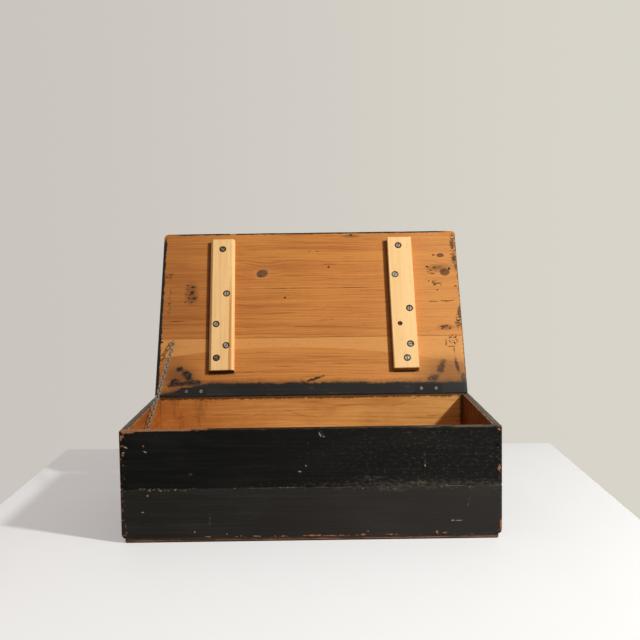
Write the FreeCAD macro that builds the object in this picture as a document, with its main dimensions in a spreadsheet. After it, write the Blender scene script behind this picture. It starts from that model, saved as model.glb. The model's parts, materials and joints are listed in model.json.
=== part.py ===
"""Pine box for papers and keepsakes: nailed boards, a battened lid on two butt hinges, and a stay chain.

Millimetres, +Z up, +X along the front to the right and +Y to the back, from the middle of the base.
The lid stands open, held by its chain. Its pieces are drawn shut, about the hinge pin, and then swung open.
"""
import FreeCAD
import Part
import Sketcher
import os
import re
from FreeCAD import Placement, Rotation, Vector

SIZES = {
    # Box of boards
    "box_width": 468,
    "box_depth": 280,
    "box_height": 139.5,
    "wall_thick": 11,
    "bottom_thick": 5,
    "upper_board_width": 73,
    "bottom_front_width": 152,
    "arris_round": 1.5,
    "foot_round": 4.5,
    # Lid, its two boards and its two battens
    "lid_thick": 11,
    "lid_lip": 1,
    "lid_rest_gap": 0.3,
    "lid_back_width": 94.5,
    "open_angle": 120,
    "batten_width": 38,
    "batten_thick": 10,
    "batten_length": 227,
    "batten_setback": 37.5,
    "left_batten_chamfer": 3.5,
    "right_batten_chamfer": 0.8,
    "left_batten_inset": 99.2,
    "right_batten_inset": 90.1,
    "left_batten_skew": -0.9,
    "right_batten_skew": -0.3,
    # Butt hinges
    "hinge_length": 40,
    "hinge_inset": 58,
    "leaf_width": 15,
    "leaf_thick": 1.5,
    "knuckle_radius": 2.4,
    "knuckle_gap": 0.2,
    "pin_radius": 1.2,
    "pin_clearance": 0.05,
    "seat_gap": 0.1,
    "hinge_screw_spread": 22,
    "hinge_screw_drop": 9,
    # Cut nails
    "nail_width": 2.4,
    "nail_thick": 1.8,
    "nail_tip": 1.2,
    "nail_head": 3.4,
    "nail_head_thick": 1,
    "nail_length": 32,
    "bottom_nail_length": 24,
    "bottom_nail_inset": 7.5,
    # Wood screws: the battens' and the hinges'
    "batten_screw_head": 4.5,
    "batten_screw_sink": 2.6,
    "batten_screw_shank": 2,
    "batten_screw_length": 18,
    "batten_screw_point": 3.5,
    "batten_screw_slot": 1,
    "hinge_screw_head": 3.3,
    "hinge_screw_sink": 1.4,
    "hinge_screw_shank": 1.5,
    "hinge_screw_length": 9,
    "hinge_screw_point": 2.5,
    "hinge_screw_slot": 0.8,
    "screw_tip": 0.3,
    # Stay chain and its two screw eyes
    "link_pitch": 8,
    "link_width": 6.2,
    "link_wire": 1.4,
    "link_gap": 0.2,
    "chain_sag": 4,
    "eye_ring": 3.2,
    "eye_wire": 1.6,
    "eye_stand": 4.3,
    "eye_depth": 8,
    "lid_eye_inset": 24,
    "lid_eye_rise": 87,
    "wall_eye_setback": 102,
    "wall_eye_drop": 23,
    # Fits
    "wood_fit": 0.05,
    "overrun": 5,
}

# Where the fasteners stand, as shares of the board or batten that they go through
NAIL_HEIGHT_SHARES = (0.22, 0.675)
BOTTOM_LONG_SHARES = (-0.42, -0.15, 0.15, 0.42)
BOTTOM_SHORT_SHARES = (-0.27, 0.27)
LEFT_SCREW_SHARES = ((-0.01, 0.92), (0.17, 0.57), (-0.24, 0.34), (0.17, 0.18), (-0.21, 0.09))
RIGHT_SCREW_SHARES = ((-0.06, 0.933), (-0.26, 0.703), (0.25, 0.44), (0.2, 0.174), (0.04, 0.072))
SPARE_HOLE_SHARES = (-0.17, 0.326)
SLOT_DEPTH_SHARE = 0.45
CHAIN_TWIST_SHARE = 0.5

# Counts
KNUCKLES = 3
BATTEN_SCREW_SIDES = 12
HINGE_SCREW_SIDES = 8
SCREW_SIDES = {"batten_screw": BATTEN_SCREW_SIDES, "hinge_screw": HINGE_SCREW_SIDES}
WIRE_SIDES = 6
RING_STEPS = 12
LINK_END_STEPS = 5
CHAIN_TWIST_LINKS = 3

# Turns, in degrees
FULL_TURN = 360
HALF_TURN = 180
QUARTER_TURN = 90
THIRD_TURN = 120
GOLDEN_TURN = 137.5

# Sizes that follow from the ones above
PIN_OFFSET = "(knuckle_radius + seat_gap - leaf_thick)"
PIN_Y = f"(box_depth / 2 + {PIN_OFFSET})"
PIN_Z = f"(box_height + lid_rest_gap - {PIN_OFFSET})"
LID_LENGTH = "(box_depth + lid_lip)"
WALL_HEIGHT = "(box_height - bottom_thick)"
KNUCKLE_HALF = f"(hinge_length / {KNUCKLES} / 2)"

X_AXIS = Vector(1, 0, 0)
Y_AXIS = Vector(0, 1, 0)
Z_AXIS = Vector(0, 0, 1)

doc = FreeCAD.newDocument("PineBox")
sheet = doc.addObject("Spreadsheet::Sheet", "Sizes")
for row, (alias, number) in enumerate(SIZES.items(), start=1):
    sheet.set(f"A{row}", alias.replace("_", " "))
    sheet.set(f"B{row}", str(number))
    sheet.setAlias(f"B{row}", alias)
doc.recompute()

nodes = []


def formula(text):
    """The same expression with every size read from the sheet."""
    return re.sub(r"[a-z_]+", lambda word: f"Sizes.{word[0]}" if word[0] in SIZES else word[0], text)


def value(text):
    """What an expression of sizes comes to, in millimetres."""
    return float(sheet.evalExpression(formula(text)))


def bind(thing, **properties):
    """Ties properties of a document object to expressions of sizes."""
    for name, text in properties.items():
        thing.setExpression(name, formula(text))


def move(thing, x="0", y="0", z="0"):
    """Ties an object's place to expressions of sizes."""
    for axis, text in (("x", x), ("y", y), ("z", z)):
        thing.setExpression(f"Placement.Base.{axis}", formula(text))


def swing_open(thing):
    """Turns a piece that is drawn shut, about the hinge pin, to where the open lid carries it."""
    thing.Placement = Placement(Vector(), Rotation(-X_AXIS, QUARTER_TURN))
    thing.setExpression("Placement.Rotation.Angle", formula("open_angle"))
    move(thing, y=PIN_Y, z=PIN_Z)


def open_place():
    """The placement that swing_open ties its pieces to, as a plain value."""
    return Placement(Vector(0, value(PIN_Y), value(PIN_Z)), Rotation(-X_AXIS, value("open_angle")))


def keep(thing, label):
    """Names a finished sub-part, which is then written to its own file."""
    thing.Label = label
    nodes.append(thing)
    return thing


def profile(body, corners, name="Profile"):
    """A closed outline of straight runs on the body's XY plane, each corner held by two expressions."""
    plane = [datum for datum in body.Origin.OriginFeatures if datum.Role == "XY_Plane"][0]
    sketch = body.newObject("Sketcher::SketchObject", name)
    sketch.AttachmentSupport = (plane, [""])
    sketch.MapMode = "FlatFace"
    points = [Vector(value(x), value(y), 0) for x, y in corners]
    count = len(points)
    for i in range(count):
        sketch.addGeometry(Part.LineSegment(points[i], points[(i + 1) % count]), False)
    for i in range(count):
        sketch.addConstraint(Sketcher.Constraint("Coincident", i, 2, (i + 1) % count, 1))
    for i, corner in enumerate(corners):
        for kind, across, text, place in zip(("DistanceX", "DistanceY"), (-2, -1), corner, points[i]):
            if text == "0":
                sketch.addConstraint(Sketcher.Constraint("PointOnObject", i, 1, across))
            else:
                held = sketch.addConstraint(Sketcher.Constraint(kind, -1, 1, i, 1, place))
                sketch.setExpression(f"Constraints[{held}]", formula(text))
    return sketch


def pad(body, corners, thick):
    """The outline pushed up by a thickness."""
    feature = body.newObject("PartDesign::Pad", "Pad")
    feature.Profile = profile(body, corners)
    bind(feature, Length=thick)
    doc.recompute()
    return feature


def edges_at(shape, shares):
    """Names of the edges whose middles lie at these shares of the shape's length, width and height."""
    box = shape.BoundBox
    found = []
    for number, edge in enumerate(shape.Edges, start=1):
        middle = edge.BoundBox.Center
        spot = (
            (middle.x - box.XMin) / box.XLength,
            (middle.y - box.YMin) / box.YLength,
            (middle.z - box.ZMin) / box.ZLength,
        )
        if tuple(round(share, 3) for share in spot) in shares:
            found.append(f"Edge{number}")
    return found


def board(name, left, right, low, high, thick, worn, radius="arris_round"):
    """A board in its own frame: length along X, width along Y, thickness up Z, with worn edges rounded."""
    body = doc.addObject("PartDesign::Body", f"{name}_blank")
    blank = pad(body, ((left, low), (right, low), (right, high), (left, high)), thick)
    rounding = body.newObject("PartDesign::Fillet", "WornEdges")
    rounding.Base = (blank, edges_at(blank.Shape, worn))
    bind(rounding, Radius=radius)
    doc.recompute()
    return body


def stand_along_x(body, y, z):
    """Stands a board on edge, its thickness towards the front."""
    body.Placement = Placement(Vector(), Rotation(X_AXIS, QUARTER_TURN))
    move(body, y=y, z=z)


def stand_along_y(body, x, z):
    """Stands a board on edge across the box, its thickness towards the right."""
    body.Placement = Placement(Vector(), Rotation(X_AXIS + Y_AXIS + Z_AXIS, THIRD_TURN))
    move(body, x=x, z=z)


def cut(label, base, cutters):
    """A blank less all its cutters."""
    tool = doc.addObject("Part::Feature", f"{label}_cutters")
    tool.Shape = Part.makeCompound(cutters)
    result = doc.addObject("Part::Cut", label)
    result.Base = base
    result.Tool = tool
    return keep(result, label)


def block(low, high):
    """A plain cutter between two corners, each given as three expressions."""
    corner = Vector(*(value(text) for text in low))
    spread = Vector(*(value(text) for text in high)) - corner
    return Part.makeBox(spread.x, spread.y, spread.z, corner)


def copies(master, places):
    """Shapes of one master at many placements."""
    shapes = []
    for place in places:
        shape = master.Shape.copy()
        shape.Placement = place.multiply(shape.Placement)
        shapes.append(shape)
    return shapes


def group(label, master, places, lid=False):
    """Like fasteners, as separate solids in one node."""
    feature = doc.addObject("Part::Feature", label)
    feature.Shape = Part.makeCompound(copies(master, places))
    if lid:
        swing_open(feature)
    return keep(feature, label)


def driven(x, y, z, direction, roll=0):
    """Where a fastener stands that is driven from this point in this direction."""
    turn = Rotation(Y_AXIS, direction).multiply(Rotation(Y_AXIS, roll))
    return Placement(Vector(x, y, z), turn)


# Small solids of flat facets

def skin(rings, closed=False):
    """A solid over rings of points, a flat facet for each step: capped at its ends, or closed on itself."""
    follow = rings[1:] + rings[:1] if closed else rings[1:]
    facets = []
    for near, far in zip(rings, follow):
        for i in range(len(near)):
            facets.append((near[i - 1], near[i], far[i], far[i - 1], near[i - 1]))
    if not closed:
        facets += [ring + ring[:1] for ring in (rings[0], rings[-1])]
    solid = Part.Solid(Part.Shell([Part.Face(Part.makePolygon(facet)) for facet in facets]))
    if solid.Volume < 0:
        solid.reverse()
    return solid


def turned(stations, sides):
    """A many-sided bar about +Y through stations, each a radius and a height given as expressions."""
    spokes = [Rotation(Y_AXIS, FULL_TURN * i / sides).multVec(X_AXIS) for i in range(sides)]
    return skin([[spoke * value(r) + Y_AXIS * value(y) for spoke in spokes] for r, y in stations])


def wire_loop(path, wire):
    """A closed loop of many-sided wire with mitred corners, along a flat path that runs anticlockwise."""
    turns = [FULL_TURN * (i + 1 / 2) / WIRE_SIDES for i in range(WIRE_SIDES)]
    spokes = [Rotation(Z_AXIS, turn).multVec(X_AXIS) for turn in turns]
    rings = []
    for i, corner in enumerate(path):
        before = (corner - path[i - 1]).normalize().cross(Z_AXIS)
        after = (path[(i + 1) % len(path)] - corner).normalize().cross(Z_AXIS)
        mitre = (before + after) / (1 + before.dot(after))
        rings.append([corner + mitre * wire * spoke.x + Z_AXIS * wire * spoke.y for spoke in spokes])
    return skin(rings, closed=True)


def arc_path(centre, radius, start, sweep, steps):
    """Corners along an arc about Z, from one angle through a sweep."""
    turns = [start + sweep * i / steps for i in range(steps + 1)]
    return [centre + Rotation(Z_AXIS, turn).multVec(X_AXIS * radius) for turn in turns]


# Masters of the fasteners, each driven along +Y from the origin

def cut_nail(name, length, fit="0", proud="0"):
    """A tapered cut nail with a square head; fit and proud swell it into the cutter for its own hole."""
    shank = doc.addObject("Part::Wedge", f"{name}_shank")
    bind(shank, Xmin=f"-nail_width / 2 - {fit}", Xmax=f"nail_width / 2 + {fit}")
    bind(shank, Zmin=f"-nail_thick / 2 - {fit}", Zmax=f"nail_thick / 2 + {fit}")
    bind(shank, X2min=f"-nail_tip / 2 - {fit}", X2max=f"nail_tip / 2 + {fit}")
    bind(shank, Z2min=f"-nail_thick / 2 - {fit}", Z2max=f"nail_thick / 2 + {fit}")
    bind(shank, Ymin="0", Ymax=f"{length} + {fit}")
    head = doc.addObject("Part::Box", f"{name}_head")
    bind(head, Length=f"nail_head + 2 * {fit}", Height=f"nail_head + 2 * {fit}")
    bind(head, Width=f"nail_head_thick + {fit} + {proud}")
    move(head, x=f"-nail_head / 2 - {fit}", y=f"-{proud}", z=f"-nail_head / 2 - {fit}")
    nail = doc.addObject("Part::Fuse", name)
    nail.Base = shank
    nail.Tool = head
    return nail


def wood_screw(name, kind, fit="0", proud=None):
    """A countersunk screw about +Y; fit and proud swell it into the cutter for its own hole."""
    head, shank = f"{kind}_head + {fit}", f"{kind}_shank + {fit}"
    sink, length = f"{kind}_sink + {fit}", f"{kind}_length + {fit}"
    stations = [(head, "0"), (shank, sink), (shank, f"{length} - {kind}_point"), ("screw_tip", length)]
    if proud:
        stations = [(head, f"-{proud}")] + stations
    screw = doc.addObject("Part::Feature", name)
    screw.Shape = turned(stations, SCREW_SIDES[kind])
    return screw


def slotted(name, screw, kind):
    """The screw with a driver slot sawn across its head."""
    slot = doc.addObject("Part::Box", f"{name}_slot")
    bind(slot, Length=f"2 * {kind}_head + 2 * overrun", Height=f"{kind}_slot")
    bind(slot, Width=f"{kind}_sink * {SLOT_DEPTH_SHARE} + overrun")
    move(slot, x=f"-{kind}_head - overrun", y="-overrun", z=f"-{kind}_slot / 2")
    result = doc.addObject("Part::Cut", name)
    result.Base = screw
    result.Tool = slot
    return result


nail = cut_nail("cut_nail", "nail_length")
nail_hole = cut_nail("nail_hole", "nail_length", "wood_fit", "overrun")
bottom_nail = cut_nail("bottom_nail", "bottom_nail_length")
bottom_nail_hole = cut_nail("bottom_nail_hole", "bottom_nail_length", "wood_fit", "overrun")
batten_screw = slotted("batten_screw", wood_screw("batten_screw_blank", "batten_screw"), "batten_screw")
batten_hole = wood_screw("batten_hole", "batten_screw", "wood_fit", "overrun")
hinge_screw = slotted("hinge_screw", wood_screw("hinge_screw_blank", "hinge_screw"), "hinge_screw")
hinge_hole = wood_screw("hinge_hole", "hinge_screw", "wood_fit", "overrun")
doc.recompute()


# Places of the fasteners

def wall_nail_heights():
    """Heights of the nails through the front and back boards."""
    seam = value("box_height - upper_board_width")
    spans = ((value("bottom_thick"), seam), (seam, value("box_height")))
    return [low + share * (high - low) for low, high in spans for share in NAIL_HEIGHT_SHARES]


corner_x = value("(box_width - wall_thick) / 2")
face_y = value("box_depth / 2")
bottom_nail_x = value("box_width / 2 - bottom_nail_inset")
bottom_nail_y = value("box_depth / 2 - bottom_nail_inset")
front_nail_places = [
    driven(side * corner_x, -face_y, height, Y_AXIS) for side in (-1, 1) for height in wall_nail_heights()
]
back_nail_places = [
    driven(side * corner_x, face_y, height, -Y_AXIS) for side in (-1, 1) for height in wall_nail_heights()
]
bottom_nail_places = [
    driven(share * value("box_width"), side * bottom_nail_y, 0, Z_AXIS)
    for side in (-1, 1) for share in BOTTOM_LONG_SHARES
] + [
    driven(side * bottom_nail_x, share * value("box_depth"), 0, Z_AXIS)
    for side in (-1, 1) for share in BOTTOM_SHORT_SHARES
]

hinge_centres = {"left": "(hinge_inset - box_width / 2)", "right": "(box_width / 2 - hinge_inset)"}
batten_centres = {
    "left": "(left_batten_inset - box_width / 2)",
    "right": "(box_width / 2 - right_batten_inset)",
}
under_lid = value(PIN_OFFSET)
batten_face = value(f"{PIN_OFFSET} - batten_thick")


def batten_frame(side):
    """A batten's own frame: the middle of its hinge end, on its bare face, turned by its skew."""
    end = Vector(value(batten_centres[side]), value(f"-{PIN_OFFSET} - batten_setback"), batten_face)
    return Placement(end, Rotation(Z_AXIS, value(f"{side}_batten_skew")))


def batten_place(side, across_share, along_share, roll=0):
    """A spot on a batten's face, by shares of its width and of its length from the hinge end."""
    x = value(f"{across_share} * batten_width")
    y = value(f"-{along_share} * batten_length")
    return batten_frame(side).multiply(driven(x, y, 0, Z_AXIS, roll))


def screw_places(side, shares):
    """The screws through one batten, their slots lying as they came to rest."""
    return [batten_place(side, *spot, GOLDEN_TURN * i) for i, spot in enumerate(shares)]


batten_screw_places = {
    "left": screw_places("left", LEFT_SCREW_SHARES),
    "right": screw_places("right", RIGHT_SCREW_SHARES),
}
spare_hole_place = batten_place("right", *SPARE_HOLE_SHARES)

# The two screws of a leaf: which way from its middle, and how the slot lies
LEAF_SCREWS = ((-1, 0), (1, GOLDEN_TURN))
leaf_screw_spots = [
    (value(f"{centre} + {way} * hinge_screw_spread / 2"), roll)
    for centre in hinge_centres.values() for way, roll in LEAF_SCREWS
]
box_leaf_screw_places = [
    driven(x, face_y, value(f"{PIN_Z} - hinge_screw_drop"), -Y_AXIS, roll) for x, roll in leaf_screw_spots
]
lid_leaf_screw_places = [
    driven(x, value("-hinge_screw_drop"), under_lid, Z_AXIS, roll) for x, roll in leaf_screw_spots
]


# Screw eyes and the line of the chain between them

wall_eye_centre = Vector(
    value("wall_thick + eye_stand - box_width / 2"),
    value("wall_eye_setback - box_depth / 2"),
    value("box_height - wall_eye_drop"),
)
lid_eye_centre = Vector(
    value("lid_eye_inset - box_width / 2"),
    value(f"-{PIN_OFFSET} - lid_eye_rise"),
    value(f"{PIN_OFFSET} - eye_stand"),
)
chain_start = wall_eye_centre
chain_end = open_place().multVec(lid_eye_centre)
chain_span = chain_end - chain_start
chain_length = chain_span.Length
chain_way = chain_span / chain_length
chain_side = chain_way.cross(Z_AXIS).normalize()
chain_down = chain_way.cross(chain_side).normalize()
if chain_down.z > 0:
    chain_down = -chain_down


def eye_stem(name, fit="0"):
    """The stem of a screw eye, into the wood along -Z from its ring; fit swells it into a cutter."""
    wire = f"eye_wire / 2 + {fit}"
    stem = doc.addObject("Part::Feature", f"{name}_stem")
    stem.Shape = turned(((wire, "0"), (wire, f"eye_stand - eye_ring + eye_depth + {fit}")), WIRE_SIDES)
    stem.Placement = Placement(Vector(0, 0, value("-eye_ring")), Rotation(Y_AXIS, -Z_AXIS))
    return stem


def screw_eye(name, place):
    """A screw eye: a ring of wire in its own XZ plane, and its stem."""
    ring = doc.addObject("Part::Feature", f"{name}_ring")
    corners = arc_path(Vector(), value("eye_ring"), FULL_TURN / RING_STEPS / 2, FULL_TURN, RING_STEPS)[1:]
    ring.Shape = wire_loop(corners, value("eye_wire / 2"))
    ring.Placement = Placement(Vector(), Rotation(X_AXIS, QUARTER_TURN))
    eye = doc.addObject("Part::Fuse", name)
    eye.Base = ring
    eye.Tool = eye_stem(name)
    eye.Placement = place
    return eye


wall_eye_place = Placement(wall_eye_centre, Rotation(chain_way, Vector(), X_AXIS, "ZXY"))
lid_eye_place = Placement(lid_eye_centre, Rotation(-Y_AXIS, Vector(), -Z_AXIS, "ZXY"))
wall_eye = screw_eye("chain_wall_eye", wall_eye_place)
lid_eye = screw_eye("chain_lid_eye", open_place().multiply(lid_eye_place))
wall_eye_hole, lid_eye_hole = copies(eye_stem("eye_hole", "wood_fit"), (wall_eye_place, lid_eye_place))


# Boards of the box

nail_holes = copies(nail_hole, front_nail_places + back_nail_places)
bottom_holes = copies(bottom_nail_hole, bottom_nail_places)
HALF_WIDTH = "box_width / 2"
SEAM = "box_height - upper_board_width"
OUTER_ENDS = {(0.0, 0.5, 1.0), (1.0, 0.5, 1.0)}
BACK_ENDS = {(0.0, 0.5, 0.0), (1.0, 0.5, 0.0)}
LOWER_ENDS = {(0.0, 0.5, 0.0), (1.0, 0.5, 0.0)}


def hinge_housing(side):
    """The cutter that lets a hinge leaf into the back board."""
    centre = hinge_centres[side]
    low = (f"{centre} - hinge_length / 2 - seat_gap", "box_depth / 2 - leaf_thick",
           f"{PIN_Z} - leaf_width - seat_gap")
    high = (f"{centre} + hinge_length / 2 + seat_gap", "box_depth / 2 + overrun", "box_height + overrun")
    return block(low, high)


def wall_board(label, low, high, y, worn, cutters):
    """A long board of the front or the back, standing on edge."""
    body = board(label, f"-{HALF_WIDTH}", HALF_WIDTH, "0", f"{high} - ({low})", "wall_thick", worn)
    stand_along_x(body, y, low)
    cut(label, body, cutters)


front_inner = "wall_thick - box_depth / 2"
back_outer = "box_depth / 2"
hinge_holes_in_wall = copies(hinge_hole, box_leaf_screw_places)
housings = [hinge_housing(side) for side in hinge_centres]
wall_board("front_upper_board", SEAM, "box_height", front_inner, OUTER_ENDS | {(0.5, 1.0, 1.0)}, nail_holes)
wall_board("front_lower_board", "bottom_thick", SEAM, front_inner, OUTER_ENDS, nail_holes + bottom_holes)
wall_board("back_upper_board", SEAM, "box_height", back_outer, BACK_ENDS,
           nail_holes + housings + hinge_holes_in_wall)
wall_board("back_lower_board", "bottom_thick", SEAM, back_outer, BACK_ENDS, nail_holes + bottom_holes)


def end_board(label, x, worn, cutters):
    """A short board that the front and back are nailed to."""
    reach = "(box_depth / 2 - wall_thick)"
    body = board(label, f"-{reach}", reach, "0", WALL_HEIGHT, "wall_thick", worn)
    stand_along_y(body, x, "bottom_thick")
    cut(label, body, cutters)


end_board("left_end_board", f"-{HALF_WIDTH}", {(0.5, 1.0, 0.0)}, nail_holes + bottom_holes + [wall_eye_hole])
end_board("right_end_board", f"{HALF_WIDTH} - wall_thick", {(0.5, 1.0, 1.0)}, nail_holes + bottom_holes)


def bottom_board(label, low, high):
    """A thin board nailed up under the walls, its lower ends worn round."""
    body = board(label, f"-{HALF_WIDTH}", HALF_WIDTH, low, high, "bottom_thick", LOWER_ENDS, "foot_round")
    cut(label, body, bottom_holes)


BOTTOM_SEAM = "bottom_front_width - box_depth / 2"
bottom_board("bottom_front_board", "-box_depth / 2", BOTTOM_SEAM)
bottom_board("bottom_back_board", BOTTOM_SEAM, "box_depth / 2")

group("front_nails", nail, front_nail_places)
group("back_nails", nail, back_nail_places)
group("bottom_nails", bottom_nail, bottom_nail_places)


# Lid

def lid_housing(side):
    """The cutter that lets a hinge leaf into the underside of the lid."""
    centre = hinge_centres[side]
    low = (f"{centre} - hinge_length / 2 - seat_gap", "-leaf_width - seat_gap", f"{PIN_OFFSET} - overrun")
    high = (f"{centre} + hinge_length / 2 + seat_gap", "overrun", f"{PIN_OFFSET} + leaf_thick")
    return block(low, high)


def lid_board(label, low, high, worn, cutters):
    """A board of the lid, drawn shut with its underside on the level of the rim."""
    body = board(label, f"-{HALF_WIDTH}", HALF_WIDTH, low, high, "lid_thick", worn)
    move(body, z=PIN_OFFSET)
    swing_open(cut(label, body, cutters))


LID_BACK = f"-{PIN_OFFSET}"
LID_SEAM = f"-{PIN_OFFSET} - lid_back_width"
LID_FRONT = f"-{PIN_OFFSET} - {LID_LENGTH}"
screws_in_lid = copies(batten_hole, batten_screw_places["left"] + batten_screw_places["right"])
lid_board("lid_front_board", LID_FRONT, LID_SEAM,
          {(0.5, 0.0, 0.0), (0.5, 0.0, 1.0), (0.0, 0.5, 1.0), (1.0, 0.5, 1.0)}, screws_in_lid)
lid_board("lid_back_board", LID_SEAM, LID_BACK, {(0.5, 1.0, 1.0), (0.0, 0.5, 1.0), (1.0, 0.5, 1.0)},
          screws_in_lid + copies(hinge_hole, lid_leaf_screw_places)
          + [lid_housing(side) for side in hinge_centres] + [lid_eye_hole])


def batten(label, side, cutters):
    """A bar across the lid's boards, its two long arrises planed off by the side's own chamfer."""
    body = doc.addObject("PartDesign::Body", f"{label}_blank")
    left, right = "-batten_width / 2", "batten_width / 2"
    bevel = f"{side}_batten_chamfer"
    pad(body, (
        (left, "batten_thick"), (left, bevel), (f"{left} + {bevel}", "0"),
        (f"{right} - {bevel}", "0"), (right, bevel), (right, "batten_thick"),
    ), "batten_length")
    body.Placement = batten_frame(side).multiply(Placement(Vector(), Rotation(X_AXIS, QUARTER_TURN)))
    move(body, batten_centres[side], f"-{PIN_OFFSET} - batten_setback", f"{PIN_OFFSET} - batten_thick")
    swing_open(cut(label, body, cutters))


batten("left_batten", "left", copies(batten_hole, batten_screw_places["left"]))
batten("right_batten", "right", copies(batten_hole, batten_screw_places["right"] + [spare_hole_place]))
group("left_batten_screws", batten_screw, batten_screw_places["left"], lid=True)
group("right_batten_screws", batten_screw, batten_screw_places["right"], lid=True)


# Hinges, drawn about the pin with the leaf of the box hanging down

def rod(name, radius, start, end):
    """A round bar along the pin between two expressions of X."""
    bar = doc.addObject("Part::Cylinder", name)
    bind(bar, Radius=radius, Height=f"({end}) - ({start})")
    bar.Placement = Placement(Vector(), Rotation(Y_AXIS, QUARTER_TURN))
    move(bar, x=start)
    return bar


def leaf(label, knuckles, reliefs, screw_cutters):
    """A hinge leaf: a plate against the wood, knuckles about the pin, and gaps for the other leaf's."""
    plate = doc.addObject("Part::Box", f"{label}_plate")
    bind(plate, Length="hinge_length", Width="leaf_thick", Height="leaf_width")
    move(plate, "-hinge_length / 2", "-knuckle_radius - seat_gap", "-leaf_width")
    blank = doc.addObject("Part::MultiFuse", f"{label}_blank")
    blank.Shapes = [plate] + [
        rod(f"{label}_knuckle_{i}", "knuckle_radius", *ends) for i, ends in enumerate(knuckles)
    ]
    clear = "knuckle_radius + knuckle_gap"
    bore = Part.makeCylinder(
        value("pin_radius + pin_clearance"), value("hinge_length + 2 * overrun"),
        Vector(value("-hinge_length / 2 - overrun"), 0, 0), X_AXIS,
    )
    gaps = [
        block((start, f"-{clear} - overrun", f"-{clear}"), (end, "overrun", "overrun"))
        for start, end in reliefs
    ]
    return cut(label, blank, [bore] + gaps + screw_cutters)


def leaf_hinge(side):
    """The box's leaf, the lid's leaf and the pin of one hinge."""
    half = "hinge_length / 2"
    wide = f"({KNUCKLE_HALF} + knuckle_gap / 2)"
    narrow = f"({KNUCKLE_HALF} - knuckle_gap / 2)"
    outer = [(f"-{half}", f"-{wide}"), (wide, half)]
    middle = [(f"-{narrow}", narrow)]
    between = [(f"-{wide}", wide)]
    beside = [(f"-{half} - overrun", f"-{narrow}"), (narrow, f"{half} + overrun")]
    plate_face = value(f"-{PIN_OFFSET}")
    spots = [
        driven(way * value("hinge_screw_spread / 2"), plate_face, value("-hinge_screw_drop"), -Y_AXIS, roll)
        for way, roll in LEAF_SCREWS
    ]
    holes = copies(hinge_hole, spots)
    box_leaf = leaf(f"{side}_hinge_box_leaf", outer, between, holes)
    move(box_leaf, hinge_centres[side], PIN_Y, PIN_Z)
    lid_leaf = leaf(f"{side}_hinge_lid_leaf", middle, beside, holes)
    lid_leaf.Placement = Placement(Vector(), Rotation(-X_AXIS, QUARTER_TURN))
    lid_leaf.setExpression("Placement.Rotation.Angle", formula(f"open_angle + {QUARTER_TURN}"))
    move(lid_leaf, hinge_centres[side], PIN_Y, PIN_Z)
    pin = keep(rod(f"{side}_hinge_pin", "pin_radius", f"-{half}", half), f"{side}_hinge_pin")
    move(pin, f"{hinge_centres[side]} - {half}", PIN_Y, PIN_Z)


for side in hinge_centres:
    leaf_hinge(side)
group("hinge_box_screws", hinge_screw, box_leaf_screw_places)
group("hinge_lid_screws", hinge_screw, lid_leaf_screw_places, lid=True)


# Chain

def chain_link(inner_length):
    """One oval link along X in the XY plane: two straight sides and two bent ends."""
    wire = value("link_wire / 2")
    bow = value("(link_width - link_wire) / 2")
    half = X_AXIS * (inner_length / 2 - bow + wire)
    right_end = arc_path(half, bow, -QUARTER_TURN, HALF_TURN, LINK_END_STEPS)
    left_end = arc_path(-half, bow, QUARTER_TURN, HALF_TURN, LINK_END_STEPS)
    return wire_loop(right_end + left_end, wire)


def chain_links():
    """Links from eye to eye, each a quarter turn on from the last, with a slow twist between the eyes."""
    ring_inside = value("eye_ring - eye_wire / 2")
    gap = value("link_gap")
    count = round((chain_length - 2 * ring_inside) / value("link_pitch"))
    inner = (chain_length - 2 * ring_inside + (count + 1) * gap) / count
    link = chain_link(inner)
    links = []
    for i in range(count):
        along = ring_inside - gap + inner / 2 + i * (inner - gap)
        share = along / chain_length
        drop = 4 * value("chain_sag") * share * (1 - share)
        slope = 4 * value("chain_sag") * (1 - 2 * share) / chain_length
        way = (chain_way + chain_down * slope).normalize()
        twist = CHAIN_TWIST_SHARE * min(1, i / CHAIN_TWIST_LINKS, (count - 1 - i) / CHAIN_TWIST_LINKS)
        turn = Rotation(way, Vector(), X_AXIS, "XZY").multiply(Rotation(X_AXIS, QUARTER_TURN * (i + twist)))
        shape = link.copy()
        shape.Placement = Placement(chain_start + chain_way * along + chain_down * drop, turn)
        links.append(shape)
    return links


chain = doc.addObject("Part::Feature", "stay_chain")
chain.Shape = Part.makeCompound(chain_links())
keep(chain, "stay_chain")
keep(wall_eye, "chain_wall_eye")
keep(lid_eye, "chain_lid_eye")

doc.recompute()
for thing in doc.Objects:
    if "Invalid" in thing.State or "Error" in thing.State:
        raise RuntimeError(f"{thing.Label} did not recompute: {thing.State}")
for node in nodes:
    if node.Shape.isNull() or not node.Shape.isValid():
        raise RuntimeError(f"{node.Label} has no valid shape")

run = [wall_eye.Shape] + chain.Shape.Solids + [lid_eye.Shape]
print("links", len(run) - 2, "least gap", round(min(a.distToShape(b)[0] for a, b in zip(run, run[1:])), 3))

os.makedirs("parts", exist_ok=True)
for node in nodes:
    node.Shape.exportStep(os.path.join("parts", f"{node.Label}.step"))
    print(node.Label, len(node.Shape.Solids), round(node.Shape.Volume, 1))
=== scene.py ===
"""Looks of a nailed pine box: worn boards, black paint, a battened lid, slotted screws and a stay chain."""

import json
import math
from functools import partial, reduce

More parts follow.
